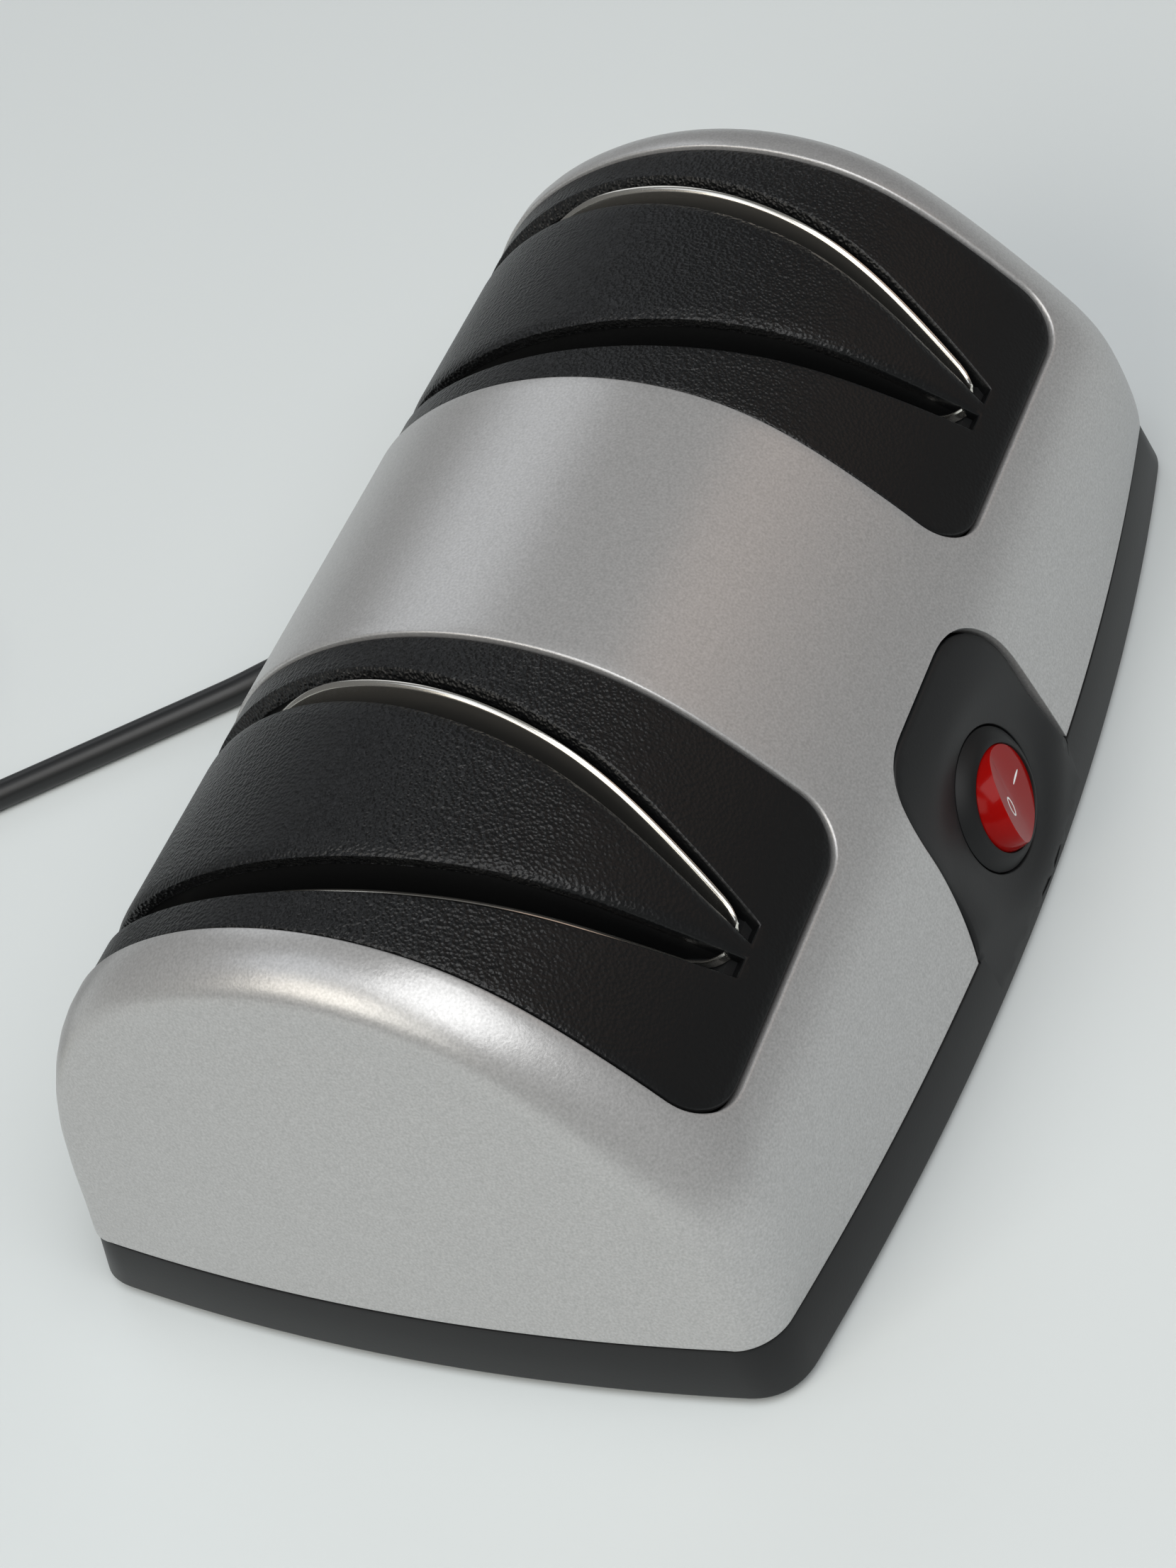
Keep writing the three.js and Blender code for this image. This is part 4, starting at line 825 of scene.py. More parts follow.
def plan_ring(z, inset):
    """The tray's outline in plan at one height: bulged sides with rounded corners."""
    x, front, back = corner_half_length - inset, front_corner_y + inset, back_wall_y - inset
    corners = [(-x, front), (x, front), (x, back), (-x, back)]
    bulges = [(0, -front_bulge), (end_bulge, 0), (0, 0), (-end_bulge, 0)]
    ring = []

    def on_side(side, share):
        ends = (corners[side], corners[(side + 1) % 4], bulges[side])
        start, end, bulge = (np.array(point) for point in ends)
        return start + share * (end - start) + 4 * share * (1 - share) * bulge

    trims = [plan_corner_radius / math.dist(corners[i], corners[(i + 1) % 4]) for i in range(4)]
    for side in range(4):
        following = (side + 1) % 4
        shares = np.linspace(trims[side], 1 - trims[side], side_steps[side] + 1)
        run = [on_side(side, share) for share in shares]
        after = on_side(following, trims[following])
        bend = bent_line(run[-1], corners[following], after, plan_corner_steps)
        ring += [*run, *bend[:-1]]
    return [(*point, z) for point in ring]


def boolean(piece, tool, operation):
    """Cuts, joins or crosses a piece with a tool, and uses the tool up."""
    step = piece.modifiers.new("boolean", "BOOLEAN")
    step.operation = operation
    step.solver = "MANIFOLD"
    step.object = tool
    select_only(piece)
    bpy.ops.object.modifier_apply(modifier=step.name)
    bpy.data.objects.remove(tool)


def round_bar(radius, z0, z1, place=(0, 0), sides=48):
    """A round bar that stands at a place in plan."""
    middle = Vector((*place, (z0 + z1) / 2)) * MM
    bpy.ops.mesh.primitive_cylinder_add(
        vertices=sides, radius=radius * MM, depth=(z1 - z0) * MM, location=middle
    )
    bar = active_piece("bar")
    settle(bar)
    return bar


def settle(piece, turn=None):
    """Moves an object's place, and a further turn, into its mesh."""
    piece.data.transform((turn or Matrix()) @ piece.matrix_basis)
    piece.matrix_basis = Matrix()


def brick(x0, x1, y0, y1, z0, z1):
    """A rectangular block between two corners."""
    middle = Vector((x0 + x1, y0 + y1, z0 + z1)) / 2 * MM
    size = Vector((x1 - x0, y1 - y0, z1 - z0)) * MM
    bpy.ops.mesh.primitive_cube_add(size=1, location=middle, scale=size)
    block = active_piece("block")
    settle(block)
    return block


def drafted(z):
    """How far the tray's wall has drawn in at a height."""
    return tray_draft * (z - foot_standoff - tray_edge)


tray_top = rim_z - seam_gap
floor_top = foot_standoff + tray_floor
lip_inner = lip_inset + lip_wall
tray_sections = [
    (foot_standoff, tray_edge), (foot_standoff + 0.06, 0.5), (foot_standoff + 0.23, 0.23),
    (foot_standoff + 0.5, 0.06), (foot_standoff + tray_edge, 0),
    (tray_top - 0.4, drafted(tray_top - 0.4)), (tray_top - 0.12, drafted(tray_top) + 0.06),
    (tray_top, drafted(tray_top) + 0.3), (tray_top, lip_inset), (rim_z, lip_inset),
    (rim_z + lip_height, lip_inset + lip_taper), (rim_z + lip_height, lip_inner + lip_taper),
    (rim_z, lip_inner), (lip_root_z, lip_inner),
    (lip_root_z, tray_wall + rim_inset / 2), (floor_top, tray_wall),
]
tray = rolled("base_tray", [plan_ring(*section) for section in tray_sections])

# The switch stands square to the panel, so its seat is cut along its own axis.
switch_centre = Vector((0, -60.3674, 20.2983))
switch_tilt = math.radians(74.1118)
switch_place = Matrix.Translation(switch_centre) @ Matrix.Rotation(switch_tilt, 4, "X")
to_metres = Matrix.Diagonal((MM, MM, MM, 1))
switch_turn_m = to_metres @ switch_place @ to_metres.inverted()
bezel_radius = 11.5
bezel_flange = 1.6
bezel_sink = 0.4
seat_gap = 0.3
hollow_near = 11.9
hollow_far = 17.2
hollow_cut = 18.3
hollow_stretch = 1.32
hollow_depth = 1.2
hollow_top = 9
case_radius = 9.7
case_depth = 13
cut_margin = 5


def on_panel_bar(radius, z0, z1, sides=96):
    """A round bar along the switch's axis, with heights measured out from the bezel's face."""
    bar = round_bar(radius, z0, z1, (0, 0), sides)
    settle(bar, switch_turn_m)
    return bar


def along_shaft(x):
    """Turns an upright bar level and carries it to the shaft's line, so far from the middle."""
    place = Matrix.Translation(Vector((x, shaft_y, shaft_z)) * MM)
    return place @ Matrix.Rotation(math.pi / 2, 4, "Y")


shaft_y = 5
shaft_z = 37.5
bush_radius = 5.5
root_z = foot_standoff + tray_floor / 2
pedestal_x = 77
pedestal_half = (2.5, 11)
pedestal_over_bush = 5
for side in (-1, 1):
    middle = side * pedestal_x
    pedestal = brick(
        middle - pedestal_half[0], middle + pedestal_half[0],
        shaft_y - pedestal_half[1], shaft_y + pedestal_half[1],
        root_z, shaft_z + bush_radius + pedestal_over_bush,
    )
    seat = round_bar(bush_radius + seat_gap, -cut_margin, cut_margin)
    settle(seat, along_shaft(middle))
    boolean(pedestal, seat, "DIFFERENCE")
    boolean(tray, pedestal, "UNION")
saddle_half = (8, 1.5)
saddle_top = shaft_z - 23.3
for saddle_y in (-21, 19):
    back, front = saddle_y + saddle_half[1], saddle_y - saddle_half[1]
    boolean(tray, brick(-saddle_half[0], saddle_half[0], front, back, root_z, saddle_top), "UNION")
post_places = [(x, y) for x in (-90.2, 90.2) for y in (-33, 46)]
post_radius = 4
post_top = 8.7
screw_bore = (1.8, 14)
screw_head_bore = (3.3, foot_standoff + 2.3)
for place in post_places:
    boolean(tray, round_bar(post_radius, root_z, post_top, place), "UNION")
    for radius, top in (screw_bore, screw_head_bore):
        boolean(tray, round_bar(radius, -cut_margin, top, place), "DIFFERENCE")
foot_places = [(x, y) for x in (-80, 80) for y in (-42, 50)]
foot_pocket_radius = 6.8
foot_pocket_top = 2.9
for place in foot_places:
    boolean(tray, round_bar(foot_pocket_radius, -cut_margin, foot_pocket_top, place), "DIFFERENCE")
vent_half = (1.5, 17)
vent_count = 7
vent_pitch = 7
for i in range(vent_count):
    x = (i - vent_count // 2) * vent_pitch
    vent = brick(
        x - vent_half[0], x + vent_half[0], -vent_half[1], vent_half[1],
        -cut_margin, floor_top + cut_margin,
    )
    boolean(tray, vent, "DIFFERENCE")
hollow = round_bar(hollow_cut, -bezel_sink - hollow_depth, hollow_top, (0, 0), 96)
settle(hollow, Matrix.Diagonal((hollow_stretch, 1, 1, 1)))
settle(hollow, switch_turn_m)
boolean(tray, hollow, "DIFFERENCE")
seat_bores = (
    (bezel_radius + seat_gap, -bezel_flange - seat_gap, 8),
    (case_radius + seat_gap, -case_depth - cut_margin, cut_margin),
)
for bore in seat_bores:
    boolean(tray, on_panel_bar(*bore), "DIFFERENCE")
cord_hole_radius = 3.6
cord_hole = round_bar(cord_hole_radius, -cut_margin, 2 * cut_margin)
hole_place = Matrix.Translation(Vector((cord_exit[0], back_wall_y - cut_margin, cord_exit[2])) * MM)
settle(cord_hole, hole_place @ Matrix.Rotation(-math.pi / 2, 4, "X"))
boolean(tray, cord_hole, "DIFFERENCE")
shade_smooth(tray, 32)

# Moulded ABS with a fine spark-eroded texture: charcoal black, with a broad satin sheen.
moulded_abs, tree, shader = new_finish("moulded_abs_black", "#1c1d1e", 0.42, Specular_IOR_Level=0.3)
add_grain(tree, shader, 0.45, 0.012, 3.0)
clothe(tray, moulded_abs)
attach(tray, "housing")
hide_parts("base_housing")

# Switch panel: the tray's black front rises through the housing's notch, a little below its surface.
# It is made as a flat net like the housing's. Round the switch it flattens into the seat's plane.
panel_recess = 0.68
panel_blend = 13
panel_back = 3.9
apron_depth = 10.22
apron_foot = 0.5
apron_proud = 0.02
apron_tuck = 0.35
apron_fade = 1.5
side_tuck = 0.1
side_tuck_width = 2
tray_lean = math.atan(tray_draft)
meeting_slope = math.tan(0.158)


def panel_inset(s):
    """The panel's depth below the arch: none at the rim, where it runs on from the tray's wall."""
    near = np.clip(s / panel_blend, 0, 1)
    return panel_recess * eased(s, 0, panel_blend) - meeting_slope * s * (1 - near) ** 2


def bend_to_panel(net, depth):
    """Bends the panel's net: onto the arch above the rim, and down the tray's wall below it."""
    u, s = net[:, 0], net[:, 1]
    above = bend_to_arch(np.stack([u, np.maximum(s, 0)], 1), panel_inset(np.maximum(s, 0)) + depth)
    y = arch_front_y + front_bulge * (u / corner_half_length) ** 2 + s * math.sin(tray_lean)
    z = rim_z + s * math.cos(tray_lean)
    proud = apron_proud - apron_tuck * eased(-s, apron_depth - apron_foot, apron_depth)
    from_side = np.where(u > 0, panel_feet[1] - u, panel_feet[-1] + u)
    proud = proud - side_tuck * (1 - eased(from_side, 0, side_tuck_width))
    proud = proud * eased(-s, 0, apron_fade)
    y = y + (depth - proud) * math.cos(tray_lean)
    z = z - (depth - proud) * math.sin(tray_lean)
    below = np.stack([u, y, z], 1)
    bent = np.where((s < 0)[:, None], below, above)
    local = (bent - np.array(switch_centre)) @ np.array(switch_place.to_3x3())
    reach = np.hypot(local[:, 0], local[:, 1])
    far = hollow_far * reach / np.maximum(np.hypot(local[:, 0] / hollow_stretch, local[:, 1]), 1e-6)
    level = -bezel_sink - depth - local[:, 2]
    share = 1 - eased(reach, hollow_near, far)
    return bent + np.outer(level * share, np.array(switch_place.to_3x3())[:, 2])


panel_edge = panel_outline(0)
left_foot, right_foot = panel_edge[0][0], panel_edge[-1][0]
apron_steps = 10
foot_steps = 49
right_drop = np.linspace(panel_edge[-1], (right_foot, -apron_depth), apron_steps + 1)[1:]
foot_run = np.linspace((right_foot, -apron_depth), (left_foot, -apron_depth), foot_steps + 1)[1:]
left_rise = np.linspace((left_foot, -apron_depth), panel_edge[0], apron_steps + 1)[1:-1]
panel_loop = np.concatenate([panel_edge, right_drop, foot_run, left_rise])[::-1]
seat_sides = 96
seat_turns = np.linspace(0, 2 * math.pi, seat_sides + 1)[:-1]
seat_radius = bezel_radius + seat_gap
search_low, search_high, search_count = -apron_depth + 0.2, 34, 400
dense_s = np.linspace(search_low, search_high, search_count)
panel_up = switch_place.to_3x3() @ Vector((0, 1, 0))
seat_loop = []
for turn in seat_turns:
    x, up = seat_radius * math.cos(turn), seat_radius * math.sin(turn)
    column = bend_to_panel(np.stack([np.full_like(dense_s, x), dense_s], 1), 0)
    heights = (column - np.array(switch_centre)) @ np.array(panel_up)
    seat_loop.append((x, np.interp(up, heights, dense_s)))
seat_loop = np.array(seat_loop)
panel_edge_round = 0.7
panel_round_run = 2
seat_edge_round = 0.25
panel_net_spacing = 1.1
panel_round = panel_edge_round * eased(panel_loop[:, 1], 0, panel_round_run)
panel_rounds = np.stack([panel_round + 1e-4, panel_round], 1)
seat_rounds = np.full((len(seat_loop), 2), seat_edge_round)
net, drops, triangles, loops = flat_net(
    panel_loop, [seat_loop], panel_net_spacing, panel_rounds, [seat_rounds]
)
skin = bend_to_panel(net, drops)
lining = bend_to_panel(net, panel_back - np.clip(panel_inset(np.maximum(net[:, 1], 0)), 0, None))
count = len(skin)
faces = [*triangles, *(triangles[:, ::-1] + count)]
faces += wall_between(loops[1], [i + count for i in loops[1]], True)
faces += wall_between(loops[0], [i + count for i in loops[0]], False)
switch_panel = mesh_piece("switch_panel", [*skin, *lining], faces)
shade_smooth(switch_panel, 40)
clothe(switch_panel, moulded_abs)
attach(switch_panel, "housing")
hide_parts("base_housing")

# Rocker switch: a round snap-in bezel and case in black nylon, with a translucent red rocker. The
# rocker tilts on a pin across the case, and the bezel's lip rises round it.
rocker_bore = 9.15
rocker_well_z = -10.9
bezel_lip = 8.6
bezel_dome = 1.4
bezel_sections = [
    (0.01, -case_depth), (case_radius - 0.5, -case_depth), (case_radius, -case_depth + 0.5),
    (case_radius, -bezel_flange), (bezel_radius - 0.1, -bezel_flange),
    (bezel_radius, -bezel_flange + 0.1), (bezel_radius, -bezel_sink - 0.2),
    (bezel_radius - 0.2, -bezel_sink), (10.6, 0.35), (9.7, 0.98), (bezel_lip + 0.35, bezel_dome),
    (bezel_lip + 0.1, bezel_dome - 0.02), (bezel_lip, bezel_dome - 0.2), (bezel_lip, 0.7),
    (rocker_bore, 0.4), (rocker_bore, rocker_well_z), (0.01, rocker_well_z),
]
bezel_sides = 96


def turned(name, sections, place, sides):
    """A turned piece: its radii and heights, carried to a place."""
    turns = [2 * math.pi * i / sides for i in range(sides)]
    rings = [
        [place @ Vector((r * math.cos(t), r * math.sin(t), z)) for t in turns] for r, z in sections
    ]
    piece = rolled(name, rings)
    shade_smooth(piece, 34)
    return piece


bezel = turned("switch_bezel", bezel_sections, switch_place, bezel_sides)
# Glass-filled nylon: flat deep black with a fine matt texture.
matt_nylon, tree, shader = new_finish("matt_nylon_black", "#161718", 0.5, Specular_IOR_Level=0.28)
add_grain(tree, shader, 0.35, 0.01, 3.0)
clothe(bezel, matt_nylon)
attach(bezel, "housing")
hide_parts("switch_body")

rocker_pivot = 1.5
rocker_foot = -6.1
ball_radius = 8.9
face_middle = 1.24
face_rise = math.tan(math.radians(28))
face_fall = math.tan(math.radians(3))
rocker_turn = math.radians(-9)
valley = 4.0
rocker_place = switch_place @ Matrix.Rotation(rocker_turn, 4, "Z")
rocker_turn_m = to_metres @ rocker_place @ to_metres.inverted()


def rocker_top(x):
    """The height of the rocker's dished face along its tilt."""
    slope = (face_rise + face_fall) / 2
    dish = (face_rise - face_fall) / 2
    return face_middle - slope * x + dish * math.sqrt(x * x + valley * valley)


bpy.ops.mesh.primitive_uv_sphere_add(
    segments=96, ring_count=64, radius=ball_radius * MM, location=(0, 0, -rocker_pivot * MM)
)
rocker = active_piece("rocker_red")
settle(rocker)
rocker_top_points = 41
rocker_edge_round = 0.45
rocker_edge_angle = math.radians(28)
wide = ball_radius + 2
top_line = [(x, rocker_top(x)) for x in np.linspace(wide, -wide, rocker_top_points)]
rocker_profile = [(-wide, rocker_foot), (wide, rocker_foot), *top_line]
cutter = rolled("cutter", [[(x, y, z) for x, z in rocker_profile] for y in (-wide, wide)])
boolean(rocker, cutter, "INTERSECT")
rounding = rocker.modifiers.new("rounding", "BEVEL")
rounding.width = rocker_edge_round * MM
rounding.segments = 4
rounding.limit_method = "ANGLE"
rounding.angle_limit = rocker_edge_angle
bpy.ops.object.modifier_apply(modifier=rounding.name)
settle(rocker, rocker_turn_m)
shade_smooth(rocker, 40)
# Tinted polycarbonate, injection moulded and glossy: light goes a little way in and glows red.
tinted_polycarbonate, tree, shader = new_finish(
    "tinted_polycarbonate_red", "#900a08", 0.15, Specular_IOR_Level=0.1
)
shader.inputs["Subsurface Weight"].default_value = 0.35
shader.inputs["Subsurface Radius"].default_value = (0.0035, 0.0003, 0.0002)
shader.inputs["Subsurface Scale"].default_value = 1.0
add_grain(tree, shader, 1.6, 0.002)
clothe(rocker, tinted_polycarbonate)
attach(rocker, "rocker")
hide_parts("switch_rocker")

# Its marks: an I and a 0 filled with white ink, pad printed on the two halves.
mark_lift = 0.03
mark_wall = 0.12


def printed_mark(name, outlines):
    """A thin printed mark from outer and inner outlines that lie on the rocker's face."""
    rings = []
    for line, lifts in outlines:
        for lift in lifts:
            rings.append([rocker_place @ Vector((x, y, rocker_top(x) + lift)) for x, y in line])
    hollow = len(outlines) > 1
    mark = rolled(name, [*rings, rings[0]] if hollow else rings, close=not hollow)
    clothe(mark, white_ink)
    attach(mark, "rocker")


white_ink, tree, shader = new_finish("pad_printed_white_ink", "#ffffff", 0.35)
add_grain(tree, shader, 0.4, 0.004)


def oval(middle, half, count=40):
    """Points of an oval on the rocker's face."""
    turns = [2 * math.pi * i / count for i in range(count)]
    return [(middle[0] + half[0] * math.cos(t), middle[1] + half[1] * math.sin(t)) for t in turns]


zero_middle = (-1.7, -0.55)
zero_outer = (1.05, 1.75)
zero_inner = (0.72, 1.42)
bar_middle = (4.5, 0.55)
bar_half = (1.6, 0.22)
bar_slant = 0.16
printed_mark("mark_zero", [
    (oval(zero_middle, zero_outer), (-mark_wall, mark_lift)),
    (oval(zero_middle, zero_inner), (mark_lift, -mark_wall)),
])
bar_outline = [(x, y + bar_slant * (x - bar_middle[0])) for x, y in oval(bar_middle, bar_half)]
printed_mark("mark_one", [(bar_outline, (-mark_wall, mark_lift))])

# Guide covers: two moulded black inserts that follow the arch and sit half a millimetre below it.
# Each has a broad hump between two slots for the blade, with a guide trough under each slot.
cover_recess = 0.5
cover_wall = 2.2
slot_datum_z = 80.5
hump_face = (13.9, 0.19, 0.142)
outer_face = (20.5, 0.31, 0.13)
slot_floor_z = 49.5
slot_front_y = -46.8
guide_wall = 1.8
spring_room = 1.3
hump_roll = (3.0, 0.8)
hump_roll_share = 0.84
slot_edge = 0.35
cover_edge = 0.45
cover_net_spacing = 1.3
trough_half_width = 24.9
trough_end_gap = 3.4
trough_span_z = (40, 90)
trough_bite = 0.25
trough_slack = 0.03
wheel_radius = 24
wheel_offset = 5.4
wheel_thickness = 5
window_radius = 25.6
window_half = 4
stages = (("coarse", -stage_x), ("fine", stage_x))
sides = (("left", -1), ("right", 1))


def face_offset(face, y, z):
    """How far a slot face stands from its stage's middle. It leans with height and toes with depth."""
    half_width, lean, toe = face
    return half_width + lean * (z - slot_datum_z) + toe * y


front_s = distance_at_y(slot_front_y)
cover_row = arch_row(arch_s, cover_recess)
cover_yz = np.stack([cover_row[0], cover_row[1]], 1)
back_s = arch_s[np.where(cover_yz[:, 1] > slot_floor_z + 0.15)[0][-1]]
slot_run = np.linspace(front_s, back_s, round((back_s - front_s) / loop_step) + 1)
slot_y = np.interp(slot_run, arch_s, cover_yz[:, 0])
slot_z = np.interp(slot_run, arch_s, cover_yz[:, 1])
slot_ends = 5


def slot_loop(middle, side):
    """A slot's outline in the net, its edge rounding, and which face each of its points is on."""
    hump = middle + side * face_offset(hump_face, slot_y, slot_z)
    outer = middle + side * face_offset(outer_face, slot_y, slot_z)
    hump_line = np.stack([flat_across(hump, slot_run), slot_run], 1)
    outer_line = np.stack([flat_across(outer, slot_run), slot_run], 1)
    front = np.linspace(hump_line[0], outer_line[0], slot_ends)[1:-1]
    back = np.linspace(outer_line[-1], hump_line[-1], slot_ends)[1:-1]
    loop = np.concatenate([front, outer_line, back, hump_line[::-1]])
    on_face = [None] * len(front) + [outer_face] * len(outer_line)
    on_face += [None] * len(back) + [hump_face] * len(hump_line)
    hump_half = face_offset(hump_face, slot_y, slot_z)
    reach = np.minimum(hump_roll[0], hump_roll_share * hump_half)[::-1]
    rounds = np.full((len(loop), 2), slot_edge)
    rounds[-len(hump_line) :, 0] = reach
    rounds[-len(hump_line) :, 1] = reach * hump_roll[1] / hump_roll[0]
    if side < 0:
        return loop[::-1], rounds[::-1], on_face[::-1]
    return loop, rounds, on_face


def on_slot_face(points, loop, on_face, middle, side):
    """Moves a loop's points sideways onto the slot's leaning faces."""
    for i, face in zip(loop, on_face):
        if face:
            points[i, 0] = middle + side * face_offset(face, points[i, 1], points[i, 2])


def cover_skin(name, middle):
    """The cover's arched skin with its two slots."""
    outline = even_loop(plan_to_net(cover_outline(middle, 0)), loop_step)
    slots = [slot_loop(middle, side) for _, side in sides]
    net, drops, triangles, loops = flat_net(
        outline, [slot[0] for slot in slots], cover_net_spacing,
        np.full((len(outline), 2), cover_edge), [slot[1] for slot in slots],
    )
    skin = bend_to_arch(net, cover_recess + drops)
    lining = bend_to_arch(net, cover_recess + cover_wall)
    for (_, side), loop, slot in zip(sides, loops[1:], slots):
        on_slot_face(skin, loop, slot[2], middle, side)
        on_slot_face(lining, loop, slot[2], middle, side)
    count = len(skin)
    faces = [*triangles, *(triangles[:, ::-1] + count)]
    for loop in loops:
        faces += wall_between(loop, [i + count for i in loop], True)
    piece = mesh_piece(name, [*skin, *lining], faces)
    shade_smooth(piece, 42)
    return piece


def wedge(middle, side, inner_extra, outer_extra, y0, y1, z0, z1):
    """The space between a slot's two faces, each moved outward by an extra."""
    bpy.ops.mesh.primitive_cube_add(size=2)
    piece = active_piece("wedge")
    for vertex in piece.data.vertices:
        y = y1 if vertex.co.y > 0 else y0
        z = z1 if vertex.co.z > 0 else z0
        face, extra = (outer_face, outer_extra) if vertex.co.x > 0 else (hump_face, inner_extra)
        vertex.co = Vector((middle + side * (face_offset(face, y, z) + extra), y, z)) * MM
    in_edit_mode(piece, lambda: bpy.ops.mesh.normals_make_consistent(inside=False))
    return piece


def under_arch(middle, inset):
    """A solid as wide as a cover under the arch, at an inset."""
    row = arch_row(arch_s[::6], inset)
    profile = [(y, z) for y, z in zip(row[0], row[1]) if z > rim_z + 1]
    profile = [(profile[0][0], rim_z), *profile, (profile[-1][0], rim_z)]
    ends = (middle - cover_length / 2, middle + cover_length / 2)
    return rolled("under_arch", [[(x, y, z) for y, z in profile] for x in ends])


def guide_trough(name, middle, side):
    """The guide under one slot: two leaning walls and a floor, open where the wheel stands in it."""
    trough = wedge(
        middle, side, -guide_wall, spring_room + guide_wall,
        slot_front_y - guide_wall, cover_back_y, slot_floor_z - guide_wall, crest_z,
    )
    boolean(trough, under_arch(middle, cover_recess + cover_wall - trough_bite), "INTERSECT")
    reach = brick(
        middle - trough_half_width, middle + trough_half_width,
        cover_front_y + trough_end_gap, cover_back_y - trough_end_gap, *trough_span_z,
    )
    boolean(trough, reach, "INTERSECT")
    room = wedge(
        middle, side, -trough_slack, spring_room,
        slot_front_y - trough_slack, cover_back_y + cut_margin, slot_floor_z, crest_z + cut_margin,
    )
    boolean(trough, room, "DIFFERENCE")
    window = round_bar(window_radius, -window_half, window_half, (0, 0), 96)
    settle(window, along_shaft(middle + side * (wheel_offset + wheel_thickness / 2)))
    boolean(trough, window, "DIFFERENCE")
    trough.name = name
    shade_smooth(trough, 30)
    return trough


# Moulded ABS with a leathery spark-eroded grain: its low cells catch light over the hump and its back,
# and it runs out towards the front, where the tool was polished. The cells are about 0.6 mm.
cell_size = 0.62
cell_ripple = 0.7
cell_height = 0.22
worn_y = -46
full_grain_y = -12
worn_share = 0.12
grained_abs, tree, shader = new_finish(
    "leather_grained_abs_black", "#0d0e0f", 0.34, Specular_IOR_Level=0.36
)
place = add_node(tree, "TexCoord").outputs["Object"]
cells = add_node(tree, "TexVoronoi", {
    "Vector": place, "Scale": 1 / (cell_size * MM), "Smoothness": 0.3,
}, feature="SMOOTH_F1")
ripple = add_node(tree, "TexNoise", {
    "Vector": place, "Scale": 1 / (cell_ripple * MM), "Detail": 3.0, "Roughness": 0.6,
})
grain = add_node(tree, "Math", {
    0: cells.outputs["Distance"], 1: ripple.outputs["Fac"],
}, operation="ADD")
depth = add_node(tree, "SeparateXYZ", {"Vector": place})
fading = add_node(tree, "MapRange", {
    "Value": depth.outputs["Y"], "From Min": worn_y * MM, "From Max": full_grain_y * MM,
    "To Min": worn_share, "To Max": 1.0,
}, interpolation_type="SMOOTHSTEP")
bump = add_node(tree, "Bump", {
    "Height": grain.outputs["Value"], "Distance": cell_height * MM,
    "Strength": fading.outputs["Result"],
})
tree.links.new(bump.outputs["Normal"], shader.inputs["Normal"])

for stage, middle in stages:
    skin = cover_skin(f"{stage}_cover_skin", middle)
    troughs = [guide_trough(f"{stage}_trough_{name}", middle, side) for name, side in sides]
    for piece in (skin, *troughs):
        clothe(piece, grained_abs if piece is skin else matt_nylon)
        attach(piece, "housing")
        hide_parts(f"{stage}_guide_cover")

# Guide springs: polished stainless leaf springs, one along the outer side of each slot. The top edge
# is curled over, and the front end is bent round to a small tip.
spring_face = (18.35, 0.29, 0.13)
spring_thickness = 0.4
spring_front_y = -44.4
spring_back_y = 38
spring_drop = {-1: 4.2, 1: 0.9}
spring_tail = (20, 3.4)
spring_clear = wheel_radius + 1
spring_least_height = 2
spring_tip_y = -41.6
spring_tip_run = 2.8
spring_tip_bend = 1.7
curl_radius = 0.35
curl_turn = math.radians(95)
curl_steps = 8
leaf_steps = 4
spring_steps = 90


def guide_spring(name, middle, side):
    """A thin sheet that follows the slot's outer face, from its foot by the wheel to its curled lip."""
    rows = []
    row_y = np.linspace(spring_front_y, spring_back_y, spring_steps + 1)
    for y, s in zip(row_y, distance_at_y(row_y)):
        surface = float(np.interp(y, cover_yz[:, 0], cover_yz[:, 1]))
        slope = float(np.interp(s, arch_s, arch_along[:, 0]))
        tail = max(0, y - spring_tail[0]) / (spring_back_y - spring_tail[0])
        top = surface - (spring_drop[side] + spring_tail[1] * tail * tail) / slope
        over_wheel = shaft_z + math.sqrt(max(0, spring_clear**2 - (y - shaft_y) ** 2))
        foot = max(slot_floor_z + seat_gap, over_wheel)
        top = max(top, foot + spring_least_height)
        bend = spring_tip_bend * max(0, (spring_tip_y - y) / spring_tip_run) ** 2

        def at(aside, z):
            return (middle + side * (face_offset(spring_face, y, z) + aside - bend), y, z)

        curl_z = top - curl_radius
        row = [at(0, foot + (curl_z - foot) * i / leaf_steps) for i in range(leaf_steps + 1)]
        for i in range(1, curl_steps + 1):
            turn = curl_turn * i / curl_steps
            row.append(at(curl_radius * (1 - math.cos(turn)), curl_z + curl_radius * math.sin(turn)))
        rows.append(row)
    sheet = placed_grid(name, rows)
    wall = sheet.modifiers.new("wall", "SOLIDIFY")
    wall.thickness = spring_thickness * MM
    wall.offset = side
    bpy.ops.object.modifier_apply(modifier=wall.name)
    in_edit_mode(sheet, lambda: bpy.ops.mesh.normals_make_consistent(inside=False))
    shade_smooth(sheet, 50)
    return sheet


